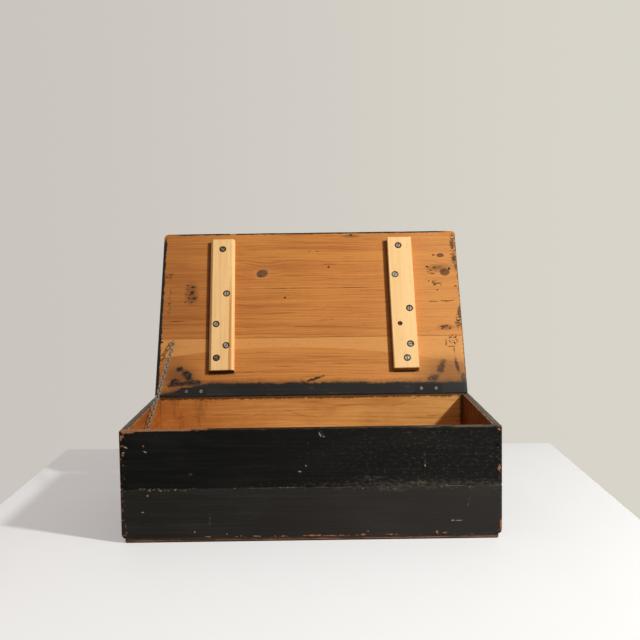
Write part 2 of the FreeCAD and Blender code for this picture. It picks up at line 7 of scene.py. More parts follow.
import bmesh
import bpy
import numpy as np
from bpy.props import FloatProperty, FloatVectorProperty, PointerProperty
from bpy.types import Operator, Panel, PropertyGroup
from mathutils import Matrix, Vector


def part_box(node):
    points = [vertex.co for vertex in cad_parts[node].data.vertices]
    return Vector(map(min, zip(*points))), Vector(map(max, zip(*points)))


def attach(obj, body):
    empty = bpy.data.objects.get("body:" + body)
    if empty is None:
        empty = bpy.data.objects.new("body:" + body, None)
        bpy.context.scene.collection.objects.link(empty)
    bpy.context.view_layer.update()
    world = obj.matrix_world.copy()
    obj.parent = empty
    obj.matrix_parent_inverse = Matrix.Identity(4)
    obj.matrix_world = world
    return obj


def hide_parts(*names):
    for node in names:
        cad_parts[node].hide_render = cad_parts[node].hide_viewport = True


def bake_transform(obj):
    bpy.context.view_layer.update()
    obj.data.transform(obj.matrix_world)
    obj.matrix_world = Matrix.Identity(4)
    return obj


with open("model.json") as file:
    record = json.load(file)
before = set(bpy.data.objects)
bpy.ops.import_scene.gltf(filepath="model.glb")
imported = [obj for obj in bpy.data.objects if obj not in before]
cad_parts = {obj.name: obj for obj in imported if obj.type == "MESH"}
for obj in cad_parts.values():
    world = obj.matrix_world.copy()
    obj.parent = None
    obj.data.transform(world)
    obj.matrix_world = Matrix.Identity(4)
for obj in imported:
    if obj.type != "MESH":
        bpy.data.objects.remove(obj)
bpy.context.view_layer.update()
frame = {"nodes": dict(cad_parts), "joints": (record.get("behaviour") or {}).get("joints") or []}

bl_info = {
    "name": "Pine Box",
    "version": (1, 0, 0),
    "blender": (4, 5, 0),
    "location": "View3D > Sidebar > Pine Box",
    "description": "Dresses the packed pine box in worn boards, old paint, steel and iron",
    "category": "Object",
}

MM = 0.001


def srgb(red, green, blue):
    """A display colour of 0 to 255 per channel as linear light."""
    shares = np.array((red, green, blue)) / 255
    linear = np.where(shares <= 0.04045, shares / 12.92, ((shares + 0.055) / 1.055) ** 2.4)
    return tuple(linear.tolist())


# Settings that a user would change

def colour(name, description, default):
    """A colour of the settings."""
    return FloatVectorProperty(name=name, description=description, default=default, subtype="COLOR",
                               size=3, min=0.0, max=1.0)


def length(name, description, default):
    """A length of the settings, in metres."""
    return FloatProperty(name=name, description=description, default=default, unit="LENGTH", min=0.0)


class PineBoxWood(PropertyGroup):
    """Boards and battens, bare and painted."""

    lid_light: colour("Lid, early wood", "Paler wood of the lid's rings", srgb(204, 131, 62))
    lid_dark: colour("Lid, late wood", "Darker wood of the lid's rings", srgb(160, 88, 36))
    # The pale strip's colour is also laid over the lid's right as painted light
    sap_and_painted_light: colour("Lid strip", "Pale strip under the lid's joint", srgb(220, 154, 86))
    wall_light: colour("Inside, early wood", "Paler wood inside the box", srgb(230, 168, 94))
    wall_dark: colour("Inside, late wood", "Darker wood inside the box", srgb(184, 114, 52))
    batten_light: colour("Batten, early wood", "Paler wood of the battens", srgb(246, 197, 132))
    batten_pale: colour("Batten, palest", "Pale wood of the right batten", srgb(249, 219, 166))
    batten_dark: colour("Batten, late wood", "Darker wood of the battens", srgb(228, 168, 100))
    upper_paint: colour("Paint above", "Black paint of the upper front board", srgb(6, 6, 5))
    # The paint's tones towards the right are lighter: painted light, as from the lamp at the right
    upper_right: colour("Paint above, right", "Upper paint towards the right", srgb(19, 18, 16))
    upper_faded: colour("Paint above, faded", "Grey that the upper paint goes towards", srgb(33, 32, 29))
    lower_right: colour("Paint below, right", "Lower paint towards the right", srgb(44, 40, 37))
    lower_paint: colour("Paint below", "Greyer paint of the lower front board", srgb(30, 27, 24))
    band_paint: colour("Paint of the band", "Paint along the lid's hinge edge", srgb(23, 20, 18))
    faded_paint: colour("Faded paint", "Grey that scuffed paint goes towards", srgb(52, 49, 45))
    rubbed_paint: colour("Rubbed paint", "Paint worn grey along the rim", srgb(104, 94, 82))
    rubbed_rim: colour("Rubbed rim", "Brownish paint along the front's rim", srgb(92, 78, 66))
    bare_wood: colour("Bare wood", "Wood where the paint has chipped off", srgb(158, 106, 72))
    pale_chip: colour("Pale chip", "Fresh chips and flecks in the paint", srgb(186, 170, 146))
    seam_chip: colour("Seam chip", "Yellowish chips along the front's seam", srgb(140, 122, 92))
    end_light: colour("End, early wood", "Paler wood inside the end boards", srgb(176, 102, 44))
    end_dark: colour("End, late wood", "Darker wood inside the end boards", srgb(106, 52, 18))
    # Darkest wood of the right end's inside, as painted shade, since it faces away from the lamp; also the
    # back's dark stains
    stain_and_shade_dark: colour("Right end, late wood", "Darkest wood inside the right end", srgb(58, 26, 8))
    knot: colour("Knot", "Grey knot at the lid's left", srgb(108, 74, 58))
    red_knot: colour("Red knot", "Reddish knots at the lid's right", srgb(112, 62, 38))
    # This dark also paints shade and shadow: by the battens, over the lid's left and under the lid's edge
    hole: colour("Hole", "Old holes, cracks and specks", srgb(38, 22, 14))
    joint_gap: length("Joint gap", "How far each worn face stands back from the sharp board", 0.15 * MM)
    arris: length("Arris", "Rounding of a worn arris", 1.3 * MM)


class PineBoxMetal(PropertyGroup):
    """Screws, hinges, nails, eyes and the chain."""

    steel: colour("Screw steel", "Old screw heads", srgb(190, 178, 162))
    chain: colour("Chain steel", "Tarnished chain and eyes", srgb(158, 150, 134))
    iron: colour("Painted iron", "Hinges under black paint", srgb(42, 39, 36))
    dull: colour("Hinge screws", "Painted heads of the hinge screws", srgb(142, 136, 126))
    rust: colour("Rust", "Rust and dirt on the metal", srgb(62, 41, 24))
    link_wire: length("Link wire", "Radius of the chain's wire", 0.85 * MM)
    eye_wire: length("Eye wire", "Radius of the wire of the screw eyes", 0.8 * MM)


class PineBoxStage(PropertyGroup):
    """Plinth, light and background."""

    plinth: colour("Plinth, left", "Pale slab under the box, at its left", srgb(254, 253, 251))
    plinth_right: colour("Plinth, right", "Pale slab under the box, at its right", srgb(238, 237, 235))
    backdrop: colour("Backdrop, left", "Grey behind the box at the left", srgb(203, 197, 191))
    backdrop_right: colour("Backdrop, right", "Grey behind the box at the right", srgb(216, 212, 201))
    key_tint: colour("Key tint", "Colour of the key lamp", (0.95, 1.0, 1.0))
    sky_tint: colour("Sky tint", "Colour of the even light", (1.0, 0.94, 0.92))
    key_power: FloatProperty(name="Key lamp", description="Power of the key lamp", default=45.0,
                             subtype="POWER", min=0.0)
    key_size: length("Key size", "Width of the key lamp", 0.16)
    sky: FloatProperty(name="Sky", description="Strength of the even light", default=0.30, min=0.0)
    plinth_seen: colour("Plinth, seen", "Pale tone that the camera sees on the plinth", (1.0, 0.93, 0.91))
    plinth_lift: FloatProperty(name="Plinth lift", description="Share of that tone over the lit plinth",
                               default=0.3, min=0.0, max=1.0)


# Frames of the pieces: an origin, and rows that run along, across and into a board

X, Y, Z = np.eye(3)
HINGE = frame["joints"][0]
PIN = np.array(HINGE["pos_m"])
LEAN = math.radians(HINGE["range_deg"][1] - 90)
LID_UP = math.sin(LEAN) * Y + math.cos(LEAN) * Z
LID_IN = math.sin(LEAN) * Z - math.cos(LEAN) * Y
BATTEN_SKEW = {"left": math.radians(-0.9), "right": math.radians(-0.3)}


def node_points(*nodes):
    """All corners of some nodes of the frame, one row each."""
    tables = []
    for node in nodes:
        mesh = frame["nodes"][node].data
        table = np.empty(len(mesh.vertices) * 3)
        mesh.vertices.foreach_get("co", table)
        tables.append(table.reshape(-1, 3))
    return np.concatenate(tables)


class Place:
    """A frame of reference: world = origin + local coordinates times the rows along, across and depth."""

    def __init__(self, origin, along, across, depth):
        self.origin = np.array(origin, float)
        self.rows = np.array((along, across, depth), float)

    def world(self, local):
        return self.origin + local @ self.rows

    def local(self, world):
        return (world - self.origin) @ self.rows.T

    def extent(self, *nodes):
        """Lowest and highest local corner of some nodes."""
        local = self.local(node_points(*nodes))
        return local.min(0), local.max(0)

    def mirrored(self):
        return np.linalg.det(self.rows) < 0


FRONT_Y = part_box("front_upper_board")[0][1]
BACK_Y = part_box("back_lower_board")[1][1]
LEFT_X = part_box("left_end_board")[0][0]
RIGHT_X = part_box("right_end_board")[1][0]
RIM_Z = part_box("left_end_board")[1][2]
SEAM_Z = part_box("front_upper_board")[0][2]

FRONT = Place(FRONT_Y * Y, X, Z, Y)
BACK = Place(BACK_Y * Y, X, Z, -Y)
LEFT = Place(LEFT_X * X, Y, Z, X)
RIGHT = Place(RIGHT_X * X, Y, Z, -X)
FRONT_DOWN = Place(FRONT_Y * Y, X, -Z, Y)
BACK_DOWN = Place(BACK_Y * Y, X, -Z, -Y)
UNDER = Place(0 * Z, X, Y, Z)
ACROSS = Place(0 * Z, Y, X, Z)
PIN_PLACE = Place(PIN, X, LID_UP, LID_IN)
LID_LOW, LID_HIGH = PIN_PLACE.extent("lid_back_board", "lid_front_board")
LID = Place(PIN_PLACE.world(np.array((0, LID_LOW[1], LID_LOW[2]))), X, LID_UP, LID_IN)
LID_LENGTH = LID_HIGH[1] - LID_LOW[1]
LID_THICK = LID_HIGH[2] - LID_LOW[2]
LID_JOINT = LID.extent("lid_back_board")[1][1]


def batten_place(side):
    """A batten's frame: origin in the middle of its hinge end on its bare face, running up the lid askew."""
    skew = BATTEN_SKEW[side]
    along = math.sin(skew) * X + math.cos(skew) * LID_UP
    across = math.cos(skew) * X - math.sin(skew) * LID_UP
    turned = Place(0 * X, along, across, -LID_IN)
    low, high = turned.extent(f"{side}_batten")
    middle = np.array((low[0], (low[1] + high[1]) / 2, low[2]))
    return Place(turned.world(middle), along, across, -LID_IN)


# Shapes

def ripple(places, seed, wave):
    """Smooth noise of about -1 to 1 along a line: a sum of three sines whose phases come from the seed."""
    rates = np.array((1.0, 2.3, 4.9)) * math.tau / wave
    phases = np.sin(seed * np.array((12.9, 78.2, 37.7))) * math.pi
    weights = np.array((0.5, 0.3, 0.2))
    return (np.sin(places[..., None] * rates + phases) * weights).sum(-1)


CROWDING = 0.85


def crowded(count):
    """Shares between 0 and 1, closer together towards both ends: u minus a sine of u."""
    shares = np.arange(1, count + 1) / (count + 1)
    return shares - np.sin(shares * math.tau) / math.tau * CROWDING


ARC_STEPS = 4
ARRIS_SWING = 0.3
WEAR_WAVE = 90 * MM
KNOCK_REACH = 7 * MM
CORNER_WEAR = 0.6
SQUARE = (0, 0)


def section_loops(corners, outline, inset, radii, side_shares):
    """Rounded outlines, one for each station.

    Each corner of a station's counterclockwise outline moves inwards along its mitre by the inset. An arc of
    the station's own radius, tangent to both sides, takes the corner's place: corner + radius * (tangent
    point + turned normal). Points at fixed shares fill the straight sides between arcs."""
    before = corners - np.roll(corners, 1, axis=0)
    before /= np.linalg.norm(before, axis=1, keepdims=True)
    inward = np.stack((-before[:, 1], before[:, 0]), axis=1)
    inward_next = np.roll(inward, -1, axis=0)
    cosine = (inward * inward_next).sum(1, keepdims=True)
    mitre = (inward + inward_next) / (1 + cosine)
    turn = np.arccos(np.clip(cosine[:, 0], -1, 1))
    angle = turn[:, None] * np.linspace(0, 1, ARC_STEPS + 1)
    spoke = before[:, None, :] * np.sin(angle)[..., None] - inward[:, None, :] * np.cos(angle)[..., None]
    arc_shape = (inward - before * np.tan(turn / 2)[:, None])[:, None, :] + spoke
    moved = outline + inset[:, None, None] * mitre[None]
    arcs = moved[:, :, None, :] + radii[:, :, None, None] * arc_shape[None]
    parts = []
    for side, shares in enumerate(side_shares):
        start = arcs[:, side, -1]
        stop = arcs[:, (side + 1) % len(corners), 0]
        straight = start[:, None] * (1 - shares[:, None]) + stop[:, None] * shares[:, None]
        parts += [arcs[:, side], straight]
    return np.concatenate(parts, axis=1)


def tube_faces(stations, around, mirrored):
    """Quads between neighbouring rings of a grid that closes around, and fans to the two poles after it."""
    ring = np.arange(around)
    step = np.roll(ring, -1)
    first = np.arange(stations - 1)[:, None] * around
    quads = np.stack((first + ring, first + step, first + around + step, first + around + ring), axis=-1)
    low_pole = np.full(around, stations * around)
    last = (stations - 1) * around
    low_fan = np.stack((low_pole, step, ring), axis=-1)
    high_fan = np.stack((low_pole + 1, last + ring, last + step), axis=-1)
    fans = np.concatenate((low_fan, high_fan))
    quads = quads.reshape(-1, 4)
    return (quads[:, ::-1], fans[:, ::-1]) if mirrored else (quads, fans)


def quarter_round(away, radius):
    """How far a quarter circle stands back, so far away from the end: r - sqrt(r^2 - (r - d)^2)."""
    short = np.clip(radius - away, 0, radius)
    return radius - np.sqrt(np.maximum(radius * radius - short * short, 0))


def bar_stations(low, high, rounds, spacing):
    """Places along a bar: crowded where each end's quarter circles run, even between."""
    angle = np.linspace(0, math.pi / 2, ARC_STEPS + 1)
    rises = np.concatenate([radius * (1 - np.cos(angle)) for radius in rounds if radius > 0])
    widest = max(rounds)
    inner = np.linspace(low + widest, high - widest, max(3, int((high - low) / spacing)))
    return np.unique(np.round(np.concatenate((low + rises, inner, high - rises)), 7))


def worn_bar(low, high, corners, radii, end_round, side_shares, spacing, seed, corner_wear=CORNER_WEAR,
             plan_rounds=SQUARE, swing=ARRIS_SWING):
    """A bar with worn arrises, in its own frame: rounded outlines carried along it, and a fan over each end.

    An arris's radius swells and shrinks along the bar with a ripple, and grows near the ends where corners
    get knocked. Plan rounds take the far edge back round a corner at the low and high end. Gives the points,
    the distance from each to the nearest arris, the stations and the points around."""
    places = bar_stations(low, high, (end_round, *plan_rounds), spacing)
    from_end = np.minimum(places - low, high - places)
    inset = quarter_round(from_end, end_round)
    wave = 1 + swing * np.stack([ripple(places, seed + i, WEAR_WAVE) for i in range(len(corners))], axis=1)
    knocked = 1 + corner_wear * np.exp(-(from_end / KNOCK_REACH) ** 2)
    back = quarter_round(places - low, plan_rounds[0]) + quarter_round(high - places, plan_rounds[1])
    far = corners[:, 0] > corners[:, 0].mean()
    outline = corners[None] - back[:, None, None] * np.stack((far, 0 * far), axis=1)
    loops = section_loops(corners, outline, inset, np.array(radii) * wave * knocked[:, None], side_shares)
    stations, around = loops.shape[:2]
    along = np.broadcast_to(places[:, None, None], (stations, around, 1))
    points = np.concatenate((along, loops), axis=2).reshape(-1, 3)
    middle = corners.mean(0)
    poles = np.array(((low, *middle), (high, *middle)))
    points = np.concatenate((points, poles))
    bottom = np.array((low, *corners.min(0)))
    top = np.array((high, *corners.max(0)))
    edge = np.sort(np.minimum(points - bottom, top - points), axis=1)[:, 1]
    return points, np.clip(edge, 0, None), stations, around


SHARP_ANGLE = math.radians(38)
BOARD_SPACING = 5 * MM


def add_piece(name, points, faces, material, attributes=None, sharp=SHARP_ANGLE):
    """Puts points and faces into a new object at the origin, with its attributes, smooth up to an angle."""
    mesh = bpy.data.meshes.new(name)
    mesh.from_pydata(points.tolist(), [], [face for table in faces for face in table.tolist()])
    mesh.validate()
    for key, table in (attributes or {}).items():
        kind, field = ("FLOAT_VECTOR", "vector") if table.ndim == 2 else ("FLOAT", "value")
        layer = mesh.attributes.new(key, kind, "POINT")
        layer.data.foreach_set(field, table.astype(np.float32).ravel())
    mesh.polygons.foreach_set("use_smooth", np.ones(len(mesh.polygons), bool))
    mesh.set_sharp_from_angle(angle=sharp)
    mesh.materials.append(material)
    piece = bpy.data.objects.new(name, mesh)
    bpy.context.scene.collection.objects.link(piece)
    return piece


def stand_in(piece, body, node):
    """The piece moves with a body and stands in for a node."""
    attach(piece, body)
    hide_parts(node)


def rectangle(low, high):
    """Corners of an upright rectangle across a bar, counterclockwise, from its lowest and highest corner."""
    return np.array(((low[1], low[2]), (high[1], low[2]), (high[1], high[2]), (low[1], high[2])))


def worn_board(node, place, body, slot, material, arrises, end_round, seed, corner_wear=CORNER_WEAR,
               plan_rounds=SQUARE, grain_place=None, swing=ARRIS_SWING, trim=0.0):
    """A board of the frame, standing in for its node. Each of its four arrises has a share of the worn
    radius, and wear trims its two sides."""
    wood = bpy.context.scene.pine_box_wood
    low, high = place.extent(node)
    low += wood.joint_gap
    high -= wood.joint_gap
    low[1] += trim
    high[1] -= trim
    points, edge, stations, around = worn_bar(
        low[0], high[0], rectangle(low, high), np.array(arrises) * wood.arris, end_round * wood.arris,
        (crowded(16), crowded(6)) * 2, BOARD_SPACING, seed, corner_wear, plan_rounds, swing)
    solid = place.world(points)
    plank = (grain_place or place).local(solid)
    piece = add_piece(f"worn_{node}", solid, tube_faces(stations, around, place.mirrored()), material,
                      {"plank": plank, "edge": edge})
    stand_in(piece, body, node)


# Nodes of the materials

# Kinds of noise: how many finer layers it has, and how strong each is beside the last
SOFT = (2.0, 0.5)
MIXED = (3.0, 0.6)
UNEVEN = (4.0, 0.6)
RAGGED = (4.0, 0.65)
CRUMBLY = (5.0, 0.75)


class Weave:
    """Adds nodes to one tree. Each method gives back the socket that carries its result."""

    def __init__(self, tree):
        self.tree = tree

    def add(self, kind, **settings):
        node = self.tree.nodes.new(kind)
        for key, setting in settings.items():
            setattr(node, key, setting)
        return node

    def feed(self, socket, source):
        """Links a socket, or sets a plain value."""
        if isinstance(source, bpy.types.NodeSocket):
            self.tree.links.new(source, socket)
        elif socket.type == "RGBA":
            socket.default_value = (*source, 1.0)
        else:
            socket.default_value = source

    def call(self, node, *sources):
        """Feeds a node's first inputs in order."""
        for socket, source in zip(node.inputs, sources):
            self.feed(socket, source)
        return node.outputs[0]

    def math(self, operation, *sources, clamp=False):
        return self.call(self.add("ShaderNodeMath", operation=operation, use_clamp=clamp), *sources)

    def plus(self, *sources):
        return reduce(partial(self.math, "ADD"), sources)

    def minus(self, first, second):
        return self.math("SUBTRACT", first, second)

    def times(self, *sources):
        return reduce(partial(self.math, "MULTIPLY"), sources)

    def most(self, *sources):
        return reduce(partial(self.math, "MAXIMUM"), sources)

    def away(self, source, middle):
        """How far a number is from a middle value, either way."""
        return self.math("ABSOLUTE", self.minus(source, middle))

    def stray(self, source, swing, reach):
        """A number moved about by another, so far for each unit of it."""
        return self.plus(source, self.times(swing, reach))

    def vector(self, operation, *sources):
        node = self.add("ShaderNodeVectorMath", operation=operation)
        self.call(node, *sources)
        return node.outputs["Value" if operation == "LENGTH" else "Vector"]

    def rise(self, source, low, high, first=0.0, last=1.0):
        """Smooth step from first at low to last at high."""
        node = self.add("ShaderNodeMapRange", interpolation_type="SMOOTHSTEP")
        return self.call(node, source, low, high, first, last)

    def fall(self, source, low, high):
        return self.rise(source, low, high, 1.0, 0.0)

    def ramp(self, source, low, high, first, last):
        """Straight line from first at low to last at high, held beyond both."""
        return self.call(self.add("ShaderNodeMapRange"), source, low, high, first, last)

    def noise(self, place, rates, kind=MIXED):
        """Noise with so many waves a metre along each axis."""
        node = self.add("ShaderNodeTexNoise")
        self.feed(node.inputs["Vector"], self.vector("MULTIPLY", place, rates))
        node.inputs["Scale"].default_value = 1.0
        node.inputs["Detail"].default_value, node.inputs["Roughness"].default_value = kind
        return node.outputs[0]

    def swing(self, place, rates, kind=MIXED):
        """Noise about 0."""
        return self.minus(self.noise(place, rates, kind), 0.5)

    def patches(self, place, rates, low, high, kind=MIXED):
        """Patches of noise: 0 where it is under low, 1 where it is over high."""
        return self.rise(self.noise(place, rates, kind), low, high)

    def lot(self, number):
        """A share drawn by lot for each whole number."""
        node = self.add("ShaderNodeTexWhiteNoise", noise_dimensions="1D")
        self.feed(node.inputs["W"], number)
        return node.outputs["Value"]

    def mix(self, share, first, second):
        node = self.add("ShaderNodeMix", data_type="RGBA")
        self.feed(node.inputs[0], share)
        self.feed(node.inputs[6], first)
        self.feed(node.inputs[7], second)
        return node.outputs[2]

    def between(self, share, first, second):
        """A number that goes from first to second by a share."""
        node = self.add("ShaderNodeMix", data_type="FLOAT")
        self.feed(node.inputs[0], share)
        self.feed(node.inputs[2], first)
        self.feed(node.inputs[3], second)
        return node.outputs[0]

    def over(self, under, colour, *masks):
        """A colour laid over another by the product of some masks."""
        return self.mix(self.times(*masks), under, colour)

    def attribute(self, name, output):
        return self.add("ShaderNodeAttribute", attribute_name=name).outputs[output]

    def split(self, place):
        node = self.add("ShaderNodeSeparateXYZ")
        self.call(node, place)
        return node.outputs

    def thrice(self, number):
        """A vector with the same number along each axis."""
        return self.call(self.add("ShaderNodeCombineXYZ"), number, number, number)

    def shaken(self, place, rate, reach):
        """A place moved about by noise, so that marks on it have ragged outlines."""
        node = self.add("ShaderNodeTexNoise")
        self.feed(node.inputs["Vector"], place)
        node.inputs["Scale"].default_value = rate
        node.inputs["Detail"].default_value = 3.0
        swing = self.vector("SUBTRACT", node.outputs["Color"], (0.5, 0.5, 0.5))
        return self.vector("ADD", place, self.vector("MULTIPLY", swing, (reach, reach, 0.0)))

    def nearest(self, place, spots):
        """How far out the nearest of some ellipses is: under 1 inside. Each spot is its centre and half sizes
        along and across, in millimetres, and its turn in degrees."""
        flat = self.vector("MULTIPLY", place, (1.0, 1.0, 0.0))
        reaches = []
        for x, y, half_x, half_y, turn in spots:
            node = self.add("ShaderNodeMapping", vector_type="TEXTURE")
            self.call(node, flat, (x * MM, y * MM, 0.0), (0.0, 0.0, math.radians(turn)),
                      (half_x * MM, half_y * MM, 1.0))
            reaches.append(self.vector("LENGTH", node.outputs[0]))
        return reduce(partial(self.math, "MINIMUM"), reaches)

    def spots(self, place, spots, inner, outer):
        """1 inside some ellipses, falling to 0 from the inner to the outer reach."""
        return self.fall(self.nearest(place, spots), inner, outer)

    def group(self, key, **sources):
        """Places a shared node group, its inputs fed by name, with _ for spaces. Gives its outputs."""
        node = self.add("ShaderNodeGroup", node_tree=group_tree(key))
        for name, source in sources.items():
            self.feed(node.inputs[name.replace("_", " ").title()], source)
        return node.outputs


def new_group(name, inputs, outputs):
    """An empty node group with these sockets; gives its weave, its input sockets and its output node."""
    tree = bpy.data.node_groups.new(name, "ShaderNodeTree")
    for direction, sockets in (("INPUT", inputs), ("OUTPUT", outputs)):
        for label, kind in sockets:
            tree.interface.new_socket(label, in_out=direction, socket_type=f"NodeSocket{kind}")
    weave = Weave(tree)
    return weave, weave.add("NodeGroupInput").outputs, weave.add("NodeGroupOutput").inputs


HEART_DEPTH = 50 * MM
GRAIN_SHIFT = (1.37, 0.41, 0.23)


def pine_grain():
    """Node group of pine: rings about a heart under the face, cut lengthways, each ring with a tone of its
    own, with fibre, dashes and streaks over them. Swell bends the rings, as round a knot."""
    w, given, out = new_group(
        "Pine Grain",
        (("Place", "Vector"), ("Light Wood", "Color"), ("Dark Wood", "Color"), ("Spacing", "Float"),
         ("Heart", "Float"), ("Waver", "Float"), ("Swell", "Float"), ("Seed", "Float")),
        (("Color", "Color"), ("Ridge", "Float")))
    place = w.vector("ADD", given["Place"], w.vector("MULTIPLY", w.thrice(given["Seed"]), GRAIN_SHIFT))
    sway = w.swing(place, (3.4, 11.0, 11.0), (2.0, 0.45))
    quiver = w.swing(place, (16.0, 60.0, 60.0), SOFT)
    x, y, z = w.split(given["Place"])
    across = w.plus(w.minus(y, given["Heart"]), w.times(sway, given["Waver"]),
                    w.times(quiver, given["Waver"], 0.3), w.times(x, 0.02), given["Swell"])
    under = w.plus(z, HEART_DEPTH)
    radius = w.math("SQRT", w.plus(w.times(across, across), w.times(under, under)))
    fibre = w.noise(place, (11.0, 560.0, 560.0))
    turn = w.stray(w.math("DIVIDE", radius, given["Spacing"]), fibre, 0.3)
    ring = w.math("FRACT", turn)
    lot = w.lot(w.math("FLOOR", turn))
    late = w.times(w.rise(ring, 0.4, 0.92), w.fall(ring, 0.93, 1.0), w.ramp(lot, 0.0, 1.0, 0.05, 1.0))
    tone = w.swing(place, (2.1, 46.0, 46.0), (3.0, 0.55))
    patch = w.swing(place, (7.0, 16.0, 16.0), SOFT)
    dash = w.patches(place, (22.0, 340.0, 340.0), 0.6, 0.74, SOFT)
    dark = w.plus(w.times(late, 0.5), w.times(tone, 1.4), w.times(w.minus(fibre, 0.5), 1.7),
                  w.times(patch, 0.7), w.times(dash, 0.5))
    dark = w.math("ADD", dark, 0.18, clamp=True)
    w.feed(out["Color"], w.mix(dark, given["Light Wood"], given["Dark Wood"]))
    w.feed(out["Ridge"], w.plus(w.times(late, 0.5), w.times(fibre, 0.6)))
    return w.tree


def edge_wear():
    """Node group of wear: 1 on an arris, falling off raggedly within a reach."""
    w, given, out = new_group(
        "Edge Wear",
        (("Place", "Vector"), ("Edge", "Float"), ("Reach", "Float"), ("Ragged", "Float"), ("Rate", "Float")),
        (("Mask", "Float"),))
    scaled = w.vector("MULTIPLY", given["Place"], w.thrice(given["Rate"]))
    ragged = w.swing(scaled, (1.0, 1.0, 1.0), (4.0, 0.62))
    depth = w.math("DIVIDE", w.stray(given["Edge"], ragged, given["Ragged"]), given["Reach"])
    w.feed(out["Mask"], w.fall(depth, 0.6, 1.15))
    return w.tree


def brushed_paint():
    """Node group of old black paint: brush marks along the board, greyer patches and fine scuffs."""
    w, given, out = new_group(
        "Brushed Paint",
        (("Place", "Vector"), ("Tone", "Color"), ("Scuff", "Color"), ("Seed", "Float")),
        (("Color", "Color"), ("Height", "Float"), ("Roughness", "Float")))
    place = w.vector("ADD", given["Place"], w.thrice(given["Seed"]))
    brush = w.noise(place, (7.0, 330.0, 330.0))
    patch = w.noise(place, (9.0, 26.0, 26.0), UNEVEN)
    grain = w.noise(place, (60.0, 900.0, 900.0), (2.0, 0.6))
    scuff = w.patches(place, (38.0, 210.0, 210.0), 0.62, 0.78, (5.0, 0.7))
    grey = w.plus(w.times(w.rise(brush, 0.4, 0.75), 0.35), w.times(w.rise(patch, 0.45, 0.75), 0.4),
                  w.times(scuff, 0.5))
    grey = w.math("ADD", grey, w.times(w.minus(grain, 0.5), 0.3), clamp=True)
    w.feed(out["Color"], w.mix(grey, given["Tone"], given["Scuff"]))
    w.feed(out["Height"], w.plus(w.times(brush, 0.6), w.times(grain, 0.4)))
    w.feed(out["Roughness"], w.ramp(patch, 0.3, 0.7, 0.42, 0.62))
    return w.tree


def metal_tarnish():
    """Node group of old metal: clean tone, and rust that gathers in patches."""
    w, given, out = new_group(
        "Metal Tarnish",
        (("Place", "Vector"), ("Clean", "Color"), ("Rust", "Color"), ("Amount", "Float")),
        (("Color", "Color"), ("Mask", "Float"), ("Roughness", "Float")))
    fine = w.noise(given["Place"], (900.0, 900.0, 900.0))
    broad = w.noise(given["Place"], (160.0, 160.0, 160.0))
    mask = w.rise(w.plus(w.times(fine, 0.5), w.times(broad, 0.5), given["Amount"]), 0.52, 0.72)
    w.feed(out["Color"], w.mix(mask, given["Clean"], given["Rust"]))
    w.feed(out["Mask"], mask)
    w.feed(out["Roughness"], w.ramp(mask, 0.0, 1.0, 0.34, 0.78))
    return w.tree


GROUPS = {"grain": pine_grain, "wear": edge_wear, "paint": brushed_paint, "tarnish": metal_tarnish}


def group_tree(key):
    """A shared node group, built when it is first asked for."""
    if not isinstance(GROUPS[key], bpy.types.NodeTree):
        GROUPS[key] = GROUPS[key]()
    return GROUPS[key]


def new_material(name, specular):
    """A material with a Principled shader; gives its weave and the shader's inputs."""
    material = bpy.data.materials.new(name)
    material.use_nodes = True
    weave = Weave(material.node_tree)
    shader = material.node_tree.nodes["Principled BSDF"].inputs
    shader["Specular IOR Level"].default_value = specular
    return material, weave, shader


def bump(weave, shader, height, reach):
    """Feeds a height of 0 to 1 to the shader's normal, so many metres deep."""
    node = weave.add("ShaderNodeBump")
    node.inputs["Strength"].default_value = 1.0
    node.inputs["Distance"].default_value = reach
    weave.feed(node.inputs["Height"], height)
    weave.feed(shader["Normal"], node.outputs[0])


# Marks on the boards: centre, half sizes along and across in millimetres, turn in degrees

LID_KNOTS = (
    (-75.7, 206.6, 9.4, 7.2, 16), (207.6, 235.5, 6.2, 3.8, 0), (212.7, 205.1, 8.0, 6.6, 0),
)
KNOT_SHADE = ((-80.5, 201.5, 6.0, 4.2, 35),)
LID_HOLES = (
    (-192.6, 186.8, 1.7, 1.1, 0), (-184.2, 183.3, 3.4, 1.2, 0), (-185.0, 173.9, 3.2, 1.7, 0),
    (-182.2, 164.6, 1.8, 1.8, 0), (-190.4, 164.7, 1.5, 1.0, 0), (-194.8, 157.6, 1.9, 0.9, 0),
    (-184.9, 157.8, 1.9, 0.9, 0), (-39.5, 163.4, 1.7, 1.5, 0), (29.3, 217.0, 2.0, 1.5, 0),
    (66.2, 274.8, 2.4, 1.8, 0), (-0.6, 245.9, 1.6, 0.7, 0), (11.9, 245.7, 1.8, 0.7, 0),
    (196.9, 236.1, 2.4, 1.1, 0), (185.0, 215.2, 2.6, 1.3, 0), (197.3, 213.8, 3.2, 1.2, 0),
    (190.8, 207.9, 1.8, 1.0, 0), (220.2, 211.0, 1.9, 2.5, 0), (228.5, 180.0, 2.6, 1.0, 0),
    (187.0, 189.5, 1.5, 1.0, 0), (199.2, 173.5, 1.7, 1.0, 0), (209.8, 111.3, 2.0, 1.2, 0),
    (202.6, 105.7, 1.7, 1.0, 0), (214.7, 106.4, 1.8, 1.1, 0), (-227.4, 89.5, 2.0, 1.5, 0),
)
LID_CRACKS = (
    (-168.5, 182.1, 10.0, 0.5, 0), (-49.0, 179.3, 66.0, 0.5, 0), (61.0, 179.7, 48.0, 0.5, 0),
    (-205.0, 124.9, 13.0, 0.8, 0), (191.8, 153.4, 9.0, 0.6, 0), (217.5, 154.0, 9.0, 0.6, 10),
    (-210.0, 174.0, 12.0, 0.4, 0), (32.8, 125.5, 3.6, 0.6, -35),
)
